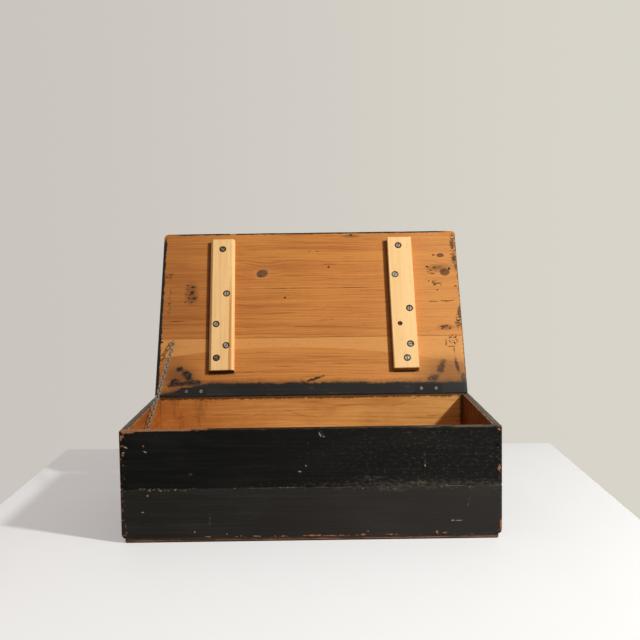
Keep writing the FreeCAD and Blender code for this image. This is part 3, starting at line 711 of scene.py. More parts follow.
LID_STAINS = (
    (-186.0, 172.0, 12.0, 22.0, 0), (66.0, 272.5, 18.0, 3.6, 0), (205.0, 212.0, 22.0, 9.0, 0),
    (208.0, 109.0, 14.0, 6.0, 0), (206.0, 30.0, 56.0, 36.0, 0), (-198.0, 32.0, 36.0, 26.0, -12),
)
LID_SMUDGES = (
    (-199.0, 44.0, 8.0, 6.0, 20), (-187.0, 34.0, 16.0, 9.0, -40), (-176.0, 22.0, 17.0, 8.0, 0),
    (-206.0, 22.0, 14.0, 8.0, 30), (6.0, 26.0, 21.0, 3.4, 17.8), (197.0, 42.0, 8.0, 19.0, -22),
    (184.0, 24.0, 12.0, 8.0, 20), (221.0, 44.0, 4.0, 22.0, 10), (218.4, 70.0, 1.6, 8.0, 0),
    (229.0, 22.0, 6.0, 16.0, 0), (207.0, 82.0, 2.0, 8.0, 0), (214.0, 76.0, 8.0, 2.0, 0),
    (228.0, 254.0, 4.0, 14.0, 0), (229.0, 232.0, 5.0, 14.0, 0), (231.0, 214.0, 3.0, 8.0, 0),
    (231.5, 134.0, 4.0, 16.0, 0), (227.0, 116.0, 6.0, 5.0, 0), (-196.0, 20.0, 26.0, 5.0, 10),
)
LID_SPECKS = (
    (-219.5, 156.0, 2.4, 30.0, -3), (-222.0, 205.0, 8.0, 6.0, 0), (219.0, 88.0, 9.0, 9.0, 0),
    (229.0, 245.0, 6.0, 34.0, 0), (230.0, 125.0, 5.0, 22.0, -8),
)
LID_BURROWS = (
    (-187.0, 172.0, 13.0, 19.0, 0), (197.0, 209.0, 14.0, 10.0, 0), (208.0, 109.0, 10.0, 6.0, 0),
    (205.0, 153.5, 24.0, 2.0, 0), (200.0, 186.0, 14.0, 6.0, 0),
)
FRONT_CHIPS = (
    (-203.9, 119.8, 2.2, 0.9, -52), (-144.0, 12.3, 1.0, 2.0, 0), (230.3, 87.5, 2.4, 5.0, 0),
    (232.4, 15.8, 2.2, 8.0, 0), (-224.0, 137.2, 12.0, 1.8, 0), (-231.5, 131.0, 1.8, 4.0, 0),
    (230.5, 134.5, 2.6, 1.6, -30), (153.5, 8.9, 1.9, 1.5, 0), (163.8, 7.4, 4.0, 0.8, 0),
    (-127.5, 6.8, 4.5, 1.1, 0), (-68.9, 6.5, 4.5, 1.0, 0), (-36.3, 6.0, 6.0, 0.8, 0),
    (2.4, 6.4, 14.0, 1.3, 0), (24.0, 5.9, 18.0, 0.8, 0), (63.0, 6.6, 4.0, 1.3, 0),
    (94.8, 6.3, 6.5, 1.0, 0),
)
FRONT_FLECKS = (
    (-225.8, 118.9, 3.4, 1.0, -25), (-229.1, 112.2, 2.0, 0.8, 15), (-202.2, 113.0, 2.4, 0.9, -20),
    (-200.6, 58.5, 1.0, 1.8, -20), (-206.6, 38.0, 2.0, 0.8, 0), (139.7, 91.3, 1.3, 1.5, 0),
    (11.4, 131.5, 0.9, 4.4, 29), (16.0, 129.0, 1.6, 0.8, 0), (173.0, 22.8, 2.0, 0.9, 0),
    (180.0, 22.6, 5.6, 0.5, 0), (-13.6, 86.2, 2.2, 0.7, 0), (-6.2, 93.4, 0.8, 1.2, 20),
    (-87.1, 6.9, 0.9, 0.7, 0), (69.1, 10.7, 1.0, 0.8, 0), (-104.2, 9.3, 0.8, 0.7, 0),
)
FRONT_SCRATCHES = (
    (13.3, 133.7, 1.2, 7.2, 29), (139.6, 100.0, 1.4, 11.0, 0), (71.5, 79.4, 1.4, 9.0, 10),
    (152.9, 72.8, 1.4, 4.5, 0), (179.4, 23.0, 8.4, 1.2, 0), (193.0, 45.2, 1.4, 12.5, -14),
    (217.5, 6.2, 8.6, 0.9, 0), (-124.8, 27.5, 1.6, 11.0, 0), (132.0, 70.0, 14.0, 5.0, 0),
    (98.7, 62.8, 22.0, 4.0, 0), (69.5, 76.9, 20.0, 4.0, 0), (-148.0, 84.2, 3.5, 2.4, 20),
)
FRONT_HOLES = ((228.1, 115.3, 3.0, 1.7, 0),)


WOOD_SHINE = 0.2
PAINT_SHINE = 0.08
PITCH_BLACK = srgb(4, 3, 2)


def batten_painted_shadow(w, side, x, v):
    """Painted shadow on the lid along a batten's left side and under its hinge end, darkest beside the
    batten.
    """
    place = batten_place(side)
    low, high = place.extent(f"{side}_batten")
    start_x, start_v, _ = LID.local(place.origin).tolist()
    end = start_v + float(high[0] - low[0])
    width = 2 * float(high[1])
    lean = w.times(w.minus(v, start_v), math.tan(BATTEN_SKEW[side]))
    away = w.minus(w.plus(lean, start_x + float(low[1])), x)
    beside = w.times(w.rise(away, -2 * MM, 0.0), w.fall(away, 0.0, 9 * MM),
                     w.rise(v, start_v - 3 * MM, start_v), w.fall(v, end - 2 * MM, end + MM))
    inward = w.minus(2 * MM, away)
    below = w.minus(start_v, v)
    under = w.times(w.rise(inward, 0.0, 2 * MM), w.fall(inward, width, width + 4 * MM),
                    w.fall(below, 1.5 * MM, 4.5 * MM), w.rise(below, -2 * MM, 0.0))
    return w.most(beside, under)


def plain_scuffs(w, plank, shaken, ragged, tint):
    """Marks of the plain sides: grey scuffs in patches, thin scratches and a few chips to the wood."""
    wood = bpy.context.scene.pine_box_wood
    zone = w.patches(plank, (11.0, 17.0, 11.0), 0.42, 0.66)
    mottled = w.noise(plank, (130.0, 240.0, 180.0), CRUMBLY)
    tint = w.over(tint, wood.rubbed_paint, w.rise(w.stray(mottled, zone, 0.16), 0.6, 0.84), 0.24)
    scratch = w.patches(shaken, (34.0, 460.0, 460.0), 0.68, 0.74, SOFT)
    tint = w.over(tint, wood.rubbed_paint, scratch, w.ramp(zone, 0.0, 1.0, 0.1, 0.5))
    return w.over(tint, wood.bare_wood, w.patches(shaken, (75.0, 110.0, 75.0), 0.72, 0.75, RAGGED), 0.8)


# Where the lid's marks run, in metres across it from its middle (x) and up it from its hinge edge (v)
SHADE_X = (-0.19, -0.06)
LID_PAINTED_LIGHT_X = (0.08, 0.24)
ARCH_TOP_V = 0.078
ARCH_MIDDLE_X = -0.04
ARCH_BEND = 0.4
BAND_LEFT = (-0.234, -0.155, 0.002, 0.0205)
BAND_RIGHT = (-0.02, 0.2, 0.0, -0.003)
LEFT_LINE_X = (-0.1, 0.0)
LEFT_LINE_V = (0.262, 0.276)
RIGHT_LINE_X = (0.0, 0.1)
TOP_LINE_START_X = (-0.216, -0.208)
TOP_LINE_STOP_X = (0.2, 0.234)
TOP_LINE_GAP_X = -0.1235
RED_KNOT_X = (0.0, 0.1)


def lid_pine(name, seed, heart):
    """The lid's bare inner face with knots, cracks, specks, paint over its borders, and painted light and
    shade; black outside.
    """
    wood = bpy.context.scene.pine_box_wood
    material, w, shader = new_material(name, WOOD_SHINE)
    plank = w.attribute("plank", "Vector")
    x, v, depth = w.split(plank)
    shaken = w.shaken(plank, 260.0, 1.6 * MM)
    knot_reach = w.nearest(shaken, LID_KNOTS)
    swell = w.times(w.fall(knot_reach, 0.4, 5.0), 9 * MM)
    grain = w.group("grain", place=plank, light_wood=wood.lid_light, dark_wood=wood.lid_dark,
                    spacing=4.1 * MM, heart=heart, waver=16 * MM, swell=swell, seed=seed)
    drift = w.noise(plank, (5.0, 9.0, 9.0), SOFT)
    # painted shade over the lid towards its left and painted light towards its right, as from the lamp at the
    # right
    shade = w.mix(0.45, wood.lid_dark, wood.hole)
    tint = w.over(grain["Color"], shade, w.fall(w.stray(x, drift, 60 * MM), *SHADE_X), 0.36)
    tint = w.over(tint, wood.sap_and_painted_light, w.rise(w.stray(x, drift, 80 * MM), *LID_PAINTED_LIGHT_X), 0.34)
    # pale strip between the joint and an arched line under it
    arch = w.minus(ARCH_TOP_V, w.times(w.math("POWER", w.minus(x, ARCH_MIDDLE_X), 2.0), ARCH_BEND))
    over_arch = w.minus(w.stray(v, w.minus(drift, 0.5), 6 * MM), arch)
    strip = w.times(w.rise(over_arch, -1.2 * MM, 1.2 * MM), w.fall(v, LID_JOINT - MM, LID_JOINT + MM))
    tint = w.over(tint, wood.sap_and_painted_light, strip, 0.62)
    tint = w.over(tint, wood.lid_dark, w.patches(plank, (130.0, 420.0, 200.0), 0.48, 0.74, (4.0, 0.7)), 0.26)
    tint = w.over(tint, wood.hole, w.spots(shaken, LID_STAINS, 0.2, 1.2), 0.5)
    # knots, each with a pale halo, rings and a dark side
    tint = w.over(tint, wood.sap_and_painted_light, w.fall(knot_reach, 1.2, 2.0), 0.12)
    ringed = w.times(w.fall(w.math("FRACT", w.times(knot_reach, 2.6)), 0.2, 0.9), 0.35)
    dark_side = w.patches(plank, (110.0, 140.0, 110.0), 0.42, 0.62)
    knot = w.mix(w.rise(x, *RED_KNOT_X), wood.knot, wood.red_knot)
    knot = w.over(knot, wood.hole, w.stray(ringed, dark_side, 0.35))
    knot = w.over(knot, wood.hole, w.spots(shaken, KNOT_SHADE, 0.4, 1.2), 0.6)
    tint = w.over(tint, knot, w.fall(knot_reach, 0.85, 1.1), 0.88)
    # cracks, holes, burrows and the painted shadow beside and under the battens
    broken = w.patches(plank, (70.0, 30.0, 30.0), 0.34, 0.6)
    crack = w.times(w.spots(shaken, LID_CRACKS, 0.5, 1.3), w.ramp(broken, 0.0, 1.0, 0.3, 0.95))
    burrow = w.times(w.spots(shaken, LID_BURROWS, 0.6, 1.1),
                     w.patches(plank, (120.0, 230.0, 200.0), 0.54, 0.6, (3.0, 0.55)), 0.8)
    tint = w.over(tint, wood.hole, w.most(crack, w.spots(shaken, LID_HOLES, 0.7, 1.25), burrow))
    for side in BATTEN_SKEW:
        tint = w.over(tint, wood.hole, batten_painted_shadow(w, side, x, v), 0.72)
    # paint over the borders: the band along the hinge edge, a line on each other edge, smudges and specks
    ragged = w.swing(plank, (150.0, 150.0, 150.0), RAGGED)
    broad = w.swing(plank, (34.0, 34.0, 34.0))
    band_top = w.plus(w.ramp(x, *BAND_LEFT), w.ramp(x, *BAND_RIGHT))
    above = w.stray(w.minus(v, band_top), w.plus(broad, ragged), 8 * MM)
    tint = w.over(tint, wood.hole, w.fall(above, 0.0, 10 * MM), 0.42)
    band = w.fall(above, -2.2 * MM, 2.0 * MM)
    from_side = w.minus(RIGHT_X, w.away(x, 0.0))
    left_line = w.times(w.fall(w.stray(from_side, ragged, 6 * MM), 4.2 * MM, 5.8 * MM),
                        w.fall(x, *LEFT_LINE_X), w.fall(w.stray(v, broad, 40 * MM), *LEFT_LINE_V))
    right_line = w.times(w.fall(w.stray(from_side, ragged, 5 * MM), 1.0 * MM, 2.2 * MM),
                         w.rise(x, *RIGHT_LINE_X), 0.75)
    top_line = w.times(w.fall(w.stray(w.minus(LID_LENGTH, v), ragged, 4 * MM), 2.5 * MM, 3.6 * MM),
                       w.rise(x, *TOP_LINE_START_X), w.fall(x, *TOP_LINE_STOP_X),
                       w.rise(w.away(x, TOP_LINE_GAP_X), 3 * MM, 6 * MM))
    blotch = w.noise(plank, (230.0, 260.0, 230.0), (5.0, 0.72))
    smudge = w.rise(w.stray(blotch, w.spots(shaken, LID_SMUDGES, 0.2, 1.6), 0.56), 0.78, 1.08)
    smudge = w.times(smudge, w.ramp(x, 0.1, 0.2, 1.0, 0.8))
    speck = w.times(w.spots(plank, LID_SPECKS, 0.75, 1.1),
                    w.patches(plank, (260.0, 420.0, 260.0), 0.53, 0.58))
    paint = w.most(band, left_line, right_line, top_line, smudge, speck)
    coat = w.group("paint", place=plank, tone=wood.band_paint, scuff=wood.faded_paint, seed=seed)
    rubbed = w.patches(plank, (60.0, 140.0, 60.0), 0.62, 0.72, RAGGED)
    tint = w.over(tint, coat["Color"], paint, w.ramp(rubbed, 0.0, 1.0, 1.0, 0.72))
    # black outside, worn along the arrises but not at the joint
    worn = w.group("wear", place=plank, edge=w.attribute("edge", "Fac"), reach=1.1 * MM, ragged=5.0 * MM,
                   rate=90.0)["Mask"]
    outside = plain_scuffs(w, plank, shaken, ragged, coat["Color"])
    outside = w.over(outside, wood.bare_wood, worn, w.rise(w.away(v, LID_JOINT), 2 * MM, 5 * MM), 0.75)
    turned_over = w.fall(w.stray(depth, ragged, 0.8 * MM), LID_THICK - 1.9 * MM, LID_THICK - 1.1 * MM)
    w.feed(shader["Base Color"], w.mix(turned_over, tint, outside))
    w.feed(shader["Roughness"], w.between(w.most(paint, turned_over), 0.62, 0.5))
    bump(w, shader, grain["Ridge"], 0.15 * MM)
    return material


STRIPE_MIDDLE = 12.5 * MM
STRIPE_SIDE = (0.9 * MM, 3.2 * MM)
STRIPE_END = (0.1, 0.17)


def batten_pine(name, seed, pale, stripe, hinge_end_black):
    """Pale planed pine, darker on worn arrises, with dirt and painted shade in the screws' sinkings and a
    black hinge end.
    """
    wood = bpy.context.scene.pine_box_wood
    material, w, shader = new_material(name, WOOD_SHINE)
    plank = w.attribute("plank", "Vector")
    sink = w.attribute("sink", "Fac")
    along, across, depth = w.split(plank)
    grain = w.group("grain", place=plank, light_wood=wood.batten_light, dark_wood=wood.batten_dark,
                    spacing=4.6 * MM, heart=20 * MM, waver=8 * MM, swell=0.0, seed=seed)
    tint = w.mix(pale, grain["Color"], wood.batten_pale)
    streak = w.swing(plank, (4.0, 180.0, 180.0))
    off_stripe = w.away(w.stray(across, streak, 6 * MM), STRIPE_MIDDLE)
    tint = w.over(tint, wood.lid_light, w.fall(off_stripe, *STRIPE_SIDE), w.fall(along, *STRIPE_END), stripe)
    worn = w.group("wear", place=plank, edge=w.attribute("edge", "Fac"), reach=0.8 * MM, ragged=2.0 * MM,
                   rate=120.0)["Mask"]
    tint = w.over(tint, wood.lid_dark, worn, 0.3)
    dirt = w.noise(plank, (60.0, 120.0, 120.0), RAGGED)
    tint = w.over(tint, wood.lid_dark, w.rise(dirt, 0.58, 0.75), 0.22)
    # patchy dirt round the sinkings, and painted shade filling each sinking
    smear = w.times(w.rise(sink, 0.0, 0.06), w.rise(dirt, 0.5, 0.62), 0.5)
    tint = w.over(tint, wood.hole, w.most(w.rise(sink, 0.12, 0.4), smear))
    tint = w.over(tint, wood.red_knot, w.rise(sink, 1.1, 1.6), 0.8)
    # the hinge end face darkened towards black
    black_end = w.times(w.fall(along, 0.3 * MM, 1.2 * MM), w.rise(depth, 1.2 * MM, 2.2 * MM))
    tint = w.over(tint, wood.hole, black_end, hinge_end_black)
    w.feed(shader["Base Color"], tint)
    w.feed(shader["Roughness"], w.ramp(dirt, 0.3, 0.7, 0.55, 0.68))
    bump(w, shader, grain["Ridge"], 0.15 * MM)
    return material


# Where the front's marks run, in metres from its middle, and how strong they are at both ends of that run
UPPER_SCUFF = (-0.12, 0.12, 0.0, 0.1)
SEAM_SCUFF = (-0.15, 0.08, 0.02, 0.14)
SEAM_LINE = (-0.12, -0.02, 0.2, 0.72)
SEAM_FLAKES_START = (-0.218, -0.2)
SEAM_FLAKES_STOP = (-0.185, -0.09)
SIDE_SPECKS = (0.0, 0.2, 0.62, 0.36)
FOOT_CHIPS = (-0.2, -0.1, 0.06, 0.15)


def front_marks(w, plank, shaken, ragged, tint):
    """Marks of the front: chips to the wood, flecks, scrapes, the seam's flaked line and one nail hole."""
    wood = bpy.context.scene.pine_box_wood
    x, y, _ = w.split(plank)
    fine = w.noise(plank, (230.0, 260.0, 230.0))
    mottled = w.noise(plank, (170.0, 290.0, 170.0), CRUMBLY)
    scrape = w.times(w.spots(shaken, FRONT_SCRATCHES, 0.2, 1.2), w.rise(mottled, 0.44, 0.63))
    tint = w.over(tint, wood.rubbed_paint, scrape, 0.45)
    # scuffed grey along the seam and over the right of the upper board
    upper = w.times(w.rise(y, SEAM_Z, SEAM_Z + 2 * MM), w.ramp(x, *UPPER_SCUFF))
    beside = w.times(w.fall(w.away(y, SEAM_Z), 2 * MM, 10 * MM), w.ramp(x, *SEAM_SCUFF))
    tint = w.over(tint, wood.rubbed_paint, w.rise(w.plus(mottled, upper, beside), 0.6, 0.84), 0.3)
    # along the seam: a thin grey line that wanders, and yellowish flakes at the left
    wander = w.times(w.swing(plank, (14.0, 0.0, 0.0)), 3.4 * MM)
    line = w.fall(w.away(w.minus(y, SEAM_Z), wander), 0.2 * MM, 0.8 * MM)
    broken = w.patches(plank, (30.0, 8.0, 8.0), 0.4, 0.6)
    tint = w.over(tint, wood.rubbed_paint, line, broken, w.ramp(x, *SEAM_LINE))
    flaked = w.times(w.rise(x, *SEAM_FLAKES_START), w.fall(x, *SEAM_FLAKES_STOP))
    band = w.times(w.fall(w.away(y, SEAM_Z - MM), 1.0 * MM, 4.4 * MM), w.ramp(flaked, 0.0, 1.0, 0.16, 0.26))
    tint = w.over(tint, wood.seam_chip, w.rise(w.plus(band, fine), 0.79, 0.85), 0.8)
    # specks beside the ends, and ragged chips above the bottom edge
    from_side = w.minus(RIGHT_X, w.away(x, 0.0))
    speck = w.rise(w.stray(fine, w.fall(from_side, 4.0 * MM, 11.0 * MM), 0.2), 0.76, 0.82)
    rubbed = w.mix(w.rise(x, 0.0, 0.1), wood.bare_wood, wood.rubbed_rim)
    tint = w.over(tint, rubbed, speck, w.ramp(x, *SIDE_SPECKS))
    low = w.times(w.fall(y, 4.0 * MM, 10.0 * MM), w.ramp(x, *FOOT_CHIPS))
    low = w.times(w.rise(w.plus(low, fine), 0.72, 0.78), 0.9)
    chip = w.rise(w.stray(fine, w.spots(shaken, FRONT_CHIPS, 0.2, 1.6), 0.5), 0.82, 0.88)
    tint = w.over(tint, wood.bare_wood, w.most(chip, low), 0.86)
    fleck = w.fall(w.stray(w.nearest(shaken, FRONT_FLECKS), ragged, 1.4), 0.5, 1.0)
    tint = w.over(tint, wood.pale_chip, fleck, 0.6)
    return w.over(tint, PITCH_BLACK, w.spots(shaken, FRONT_HOLES, 0.7, 1.2))


def bottom_line(w, plank, shaken, ragged, tint):
    """The bottom boards' edges: a thin broken line of bare wood above the plinth."""
    wood = bpy.context.scene.pine_box_wood
    level = w.stray(w.split(plank)[2], ragged, 1.6 * MM)
    line = w.times(w.rise(level, 1.7 * MM, 2.0 * MM), w.fall(level, 2.6 * MM, 3.1 * MM))
    broken = w.ramp(w.noise(plank, (26.0, 26.0, 26.0)), 0.4, 0.6, 0.3, 0.9)
    return w.over(tint, wood.bare_wood, line, broken)


FRONT_RIM_BARE = (-0.18, -0.11, 0.4, -0.04)
FRONT_RIM_RUBBED = (0.05, 0.2, 0.0, 0.2)
FRONT_RIM_BROWN = (-0.12, 0.02)


def front_rim(w, plank, ragged, tint):
    """The front's rim: bare wood at the left end, dark brown along the middle, rubbed at the right."""
    wood = bpy.context.scene.pine_box_wood
    x, y, _ = w.split(plank)
    top = w.rise(w.stray(y, ragged, 1.6 * MM), RIM_Z - 1.7 * MM, RIM_Z - 0.9 * MM)
    patchy = w.noise(plank, (50.0, 120.0, 120.0), UNEVEN)
    worn = w.rise(w.plus(patchy, w.ramp(x, *FRONT_RIM_BARE), w.ramp(x, *FRONT_RIM_RUBBED)), 0.54, 0.7)
    shade = w.mix(w.rise(x, *FRONT_RIM_BROWN), wood.bare_wood, wood.rubbed_rim)
    return w.over(tint, shade, top, worn, 0.85)


def end_rim(w, plank, ragged, tint):
    """An end's rim: paint rubbed to grey, with a dark ragged line and bare chips along the inner arris."""
    wood = bpy.context.scene.pine_box_wood
    along, y, depth = w.split(plank)
    top = w.rise(y, RIM_Z - 1.6 * MM, RIM_Z - 0.5 * MM)
    patchy = w.noise(plank, (90.0, 150.0, 150.0), RAGGED)
    rubbed = w.mix(0.5, wood.rubbed_paint, wood.rubbed_rim)
    tint = w.over(tint, rubbed, top, w.ramp(patchy, 0.3, 0.6, 0.45, 0.95))
    notched = w.stray(depth, w.math("PINGPONG", along, 5 * MM), 0.3)
    tint = w.over(tint, wood.upper_paint, w.fall(w.away(notched, 8.2 * MM), 0.4 * MM, 1.1 * MM), top, 0.75)
    inner = w.rise(w.stray(depth, ragged, 7 * MM), 8.0 * MM, 9.0 * MM)
    return w.over(tint, wood.bare_wood, inner, top, w.rise(patchy, 0.47, 0.6))


def back_rim(w, plank, ragged, tint):
    """The back's rim, darkened with painted shade under the lid's edge."""
    wood = bpy.context.scene.pine_box_wood
    return w.over(tint, wood.hole, w.rise(w.split(plank)[1], RIM_Z - 1.8 * MM, RIM_Z - 0.8 * MM))


def dark_corner(w, plank, ragged, bare):
    """An end's bare inside, with a dark line where it meets the back."""
    wood = bpy.context.scene.pine_box_wood
    corner = w.rise(w.stray(w.split(plank)[0], ragged, 3 * MM), BACK_Y - 15 * MM, BACK_Y - 12 * MM)
    bare = w.over(bare, wood.end_light, w.patches(plank, (40.0, 14.0, 40.0), 0.45, 0.68, RAGGED), 0.4)
    return w.over(bare, wood.hole, corner, 0.85)


BACK_BROWN_X = (-0.19, -0.07)


def back_stains_and_shade(w, plank, ragged, bare):
    """The back's bare inside: brown and mottled at the left, with painted shade along the top under the lid,
    and dark in the corner.
    """
    wood = bpy.context.scene.pine_box_wood
    x, y, _ = w.split(plank)
    mottle = w.noise(plank, (30.0, 60.0, 30.0), RAGGED)
    left = w.fall(w.stray(x, w.minus(mottle, 0.5), 120 * MM), *BACK_BROWN_X)
    bare = w.over(bare, wood.end_light, left, w.ramp(mottle, 0.35, 0.65, 0.3, 0.8))
    smear = w.patches(plank, (75.0, 14.0, 75.0), 0.5, 0.68, RAGGED)
    bare = w.over(bare, wood.stain_and_shade_dark, smear, left, 0.36)
    vein = w.stray(y, w.swing(plank, (5.0, 9.0, 5.0), SOFT), 90 * MM)
    thread = w.fall(w.math("PINGPONG", vein, 11 * MM), 0.1 * MM, 0.9 * MM)
    bare = w.over(bare, wood.stain_and_shade_dark, thread, w.rise(mottle, 0.45, 0.65), 0.3)
    # painted shade along the top, under the lid's edge
    top = w.rise(w.stray(y, ragged, 9 * MM), RIM_Z - 5 * MM, RIM_Z - 2.4 * MM)
    corner = w.rise(w.stray(x, ragged, 3 * MM), RIGHT_X - 16 * MM, RIGHT_X - 12 * MM)
    return w.over(bare, wood.hole, w.most(top, corner), 0.82)


# Shares of the wear along the arrises that are left at the foot, on the front and at the rim
FOOT_WEAR = 0.2
FRONT_WEAR = 0.6
RIM_WEAR = 0.35
# Run of the paint's painted light across a board, in metres from its middle
PAINTED_LIGHT_TONE_X = (-0.24, 0.24)
RUBBED_X = (0.0, 0.2)
INNER_SHADE_X = (-0.2, -0.08)


def painted_pine(name, seed, tones, thick, inner=None, marks=plain_scuffs, rim=None, bare_marks=None,
                 margin=None, wear=1.0, half=None):
    """A board painted black outside and bare inside, its paint worn off along the arrises, but not where the
    board meets its neighbour: at both ends of a board of this half length, or else along its inner side. A
    bottom board has a margin, under the walls, that is not bare."""
    wood = bpy.context.scene.pine_box_wood
    material, w, shader = new_material(name, PAINT_SHINE)
    plank = w.attribute("plank", "Vector")
    x, y, depth = w.split(plank)
    light, dark = inner or (wood.wall_light, wood.wall_dark)
    grain = w.group("grain", place=plank, light_wood=light, dark_wood=dark, spacing=6 * MM, heart=-30 * MM,
                    waver=20 * MM, swell=0.0, seed=seed)
    at_left, at_right, faded = tones
    # the paint lighter towards the right: painted light, as from the lamp at the right
    tone = w.mix(w.rise(x, *PAINTED_LIGHT_TONE_X), at_left, at_right)
    coat = w.group("paint", place=plank, tone=tone, scuff=faded, seed=seed)
    shaken = w.shaken(plank, 300.0, 1.8 * MM)
    ragged = w.swing(plank, (170.0, 170.0, 170.0), RAGGED)
    from_middle = w.away(x, 0.0)
    worn = w.group("wear", place=plank, edge=w.attribute("edge", "Fac"), reach=0.9 * MM, ragged=3.4 * MM,
                   rate=140.0)["Mask"]
    worn = w.times(worn, w.rise(w.away(y, SEAM_Z), 2 * MM, 5 * MM))
    inside = w.rise(w.stray(depth, ragged, 1.2 * MM), thick - 1.3 * MM, thick - 0.5 * MM)
    if margin:
        inside = w.times(inside, w.rise(w.minus(RIGHT_X, from_middle), 0.5 * margin, margin),
                         w.rise(w.minus(BACK_Y, w.away(y, 0.0)), 0.5 * margin, margin))
    else:
        worn = w.times(worn, w.ramp(y, 7 * MM, 10 * MM, FOOT_WEAR, 1.0))
    if half:
        worn = w.times(worn, w.fall(from_middle, half - 8 * MM, half - 3 * MM))
    elif not margin:
        worn = w.times(worn, w.fall(depth, thick - 4.5 * MM, thick - 2 * MM))
        inside = w.times(inside, w.fall(from_middle, RIGHT_X - thick, RIGHT_X - 0.5 * thick))
    if rim:
        worn = w.times(worn, w.ramp(y, RIM_Z - 5 * MM, RIM_Z - 2 * MM, 1.0, RIM_WEAR))
    rubbed = w.mix(w.rise(x, *RUBBED_X), wood.bare_wood, wood.rubbed_rim)
    tint = w.over(coat["Color"], rubbed, worn, 0.66 * wear)
    tint = marks(w, plank, shaken, ragged, tint)
    if rim:
        tint = rim(w, plank, ragged, tint)
    bare = w.over(grain["Color"], dark, w.patches(plank, (13.0, 24.0, 13.0), 0.42, 0.68, UNEVEN), 0.4)
    bare = w.over(bare, dark, w.fall(x, *INNER_SHADE_X), 0.35)
    if bare_marks:
        bare = bare_marks(w, plank, ragged, bare)
    w.feed(shader["Base Color"], w.mix(inside, tint, bare))
    w.feed(shader["Roughness"], w.between(inside, coat["Roughness"], 0.6))
    bump(w, shader, w.plus(w.times(coat["Height"], 0.5), w.times(grain["Ridge"], 0.4)), 0.2 * MM)
    return material


def old_metal(name, clean, amount, metallic, shine=0.5, dirt=None, grimed=False):
    """Steel or iron with rust and dirt; the pattern follows the object's own coordinates."""
    metal = bpy.context.scene.pine_box_metal
    material, w, shader = new_material(name, shine)
    place = w.add("ShaderNodeTexCoord").outputs["Object"]
    if grimed:
        amount = w.plus(w.attribute("grime", "Fac"), amount)
    tarnish = w.group("tarnish", place=place, clean=clean, rust=dirt or metal.rust, amount=amount)
    w.feed(shader["Base Color"], tarnish["Color"])
    w.feed(shader["Roughness"], tarnish["Roughness"])
    w.feed(shader["Metallic"], w.ramp(tarnish["Mask"], 0.0, 1.0, metallic, 0.0))
    bump(w, shader, tarnish["Mask"], 0.05 * MM)
    return material


def painted_nails(name):
    """Nail heads under the paint of the board that they hold, one of them sunk into a black hole."""
    wood = bpy.context.scene.pine_box_wood
    material, w, shader = new_material(name, PAINT_SHINE)
    place = w.add("ShaderNodeTexCoord").outputs["Object"]
    x, y, z = w.split(place)
    tone = w.mix(w.rise(z, SEAM_Z - MM, SEAM_Z + MM), wood.lower_right, wood.upper_right)
    coat = w.group("paint", place=place, tone=tone, scuff=wood.upper_faded, seed=0.3)
    hole = w.spots(w.call(w.add("ShaderNodeCombineXYZ"), x, z), FRONT_HOLES, 0.7, 1.2)
    w.feed(shader["Base Color"], w.over(coat["Color"], PITCH_BLACK, hole, w.fall(y, 0.0, MM)))
    w.feed(shader["Roughness"], coat["Roughness"])
    bump(w, shader, coat["Height"], 0.1 * MM)
    return material


# Pieces

# Arrises in the order outer low, outer high, inner high, inner low, as shares of the worn radius
FRONT_ARRISES = (0.3, 1.15, 0.8, 0.2)
BACK_ARRISES = (0.3, 0.6, 0.8, 0.2)
END_ARRISES = (2.8, 1.15, 0.9, 0.2)
LOWER_ARRISES = (0.3, 0.3, 0.2, 0.2)
BOTTOM_ARRISES = (1.6, 1.6, 0.15, 0.15)
# Rounding of a board's two ends, as a share of the worn radius
WALL_ENDS = 1.1
JOINED_ENDS = 0.2
BOTTOM_ENDS = 0.5
FOOT_TRIM = 4.6 * MM
FOOT_CORNERS = (6 * MM, 6 * MM)
FOOT_SWING = 0.05


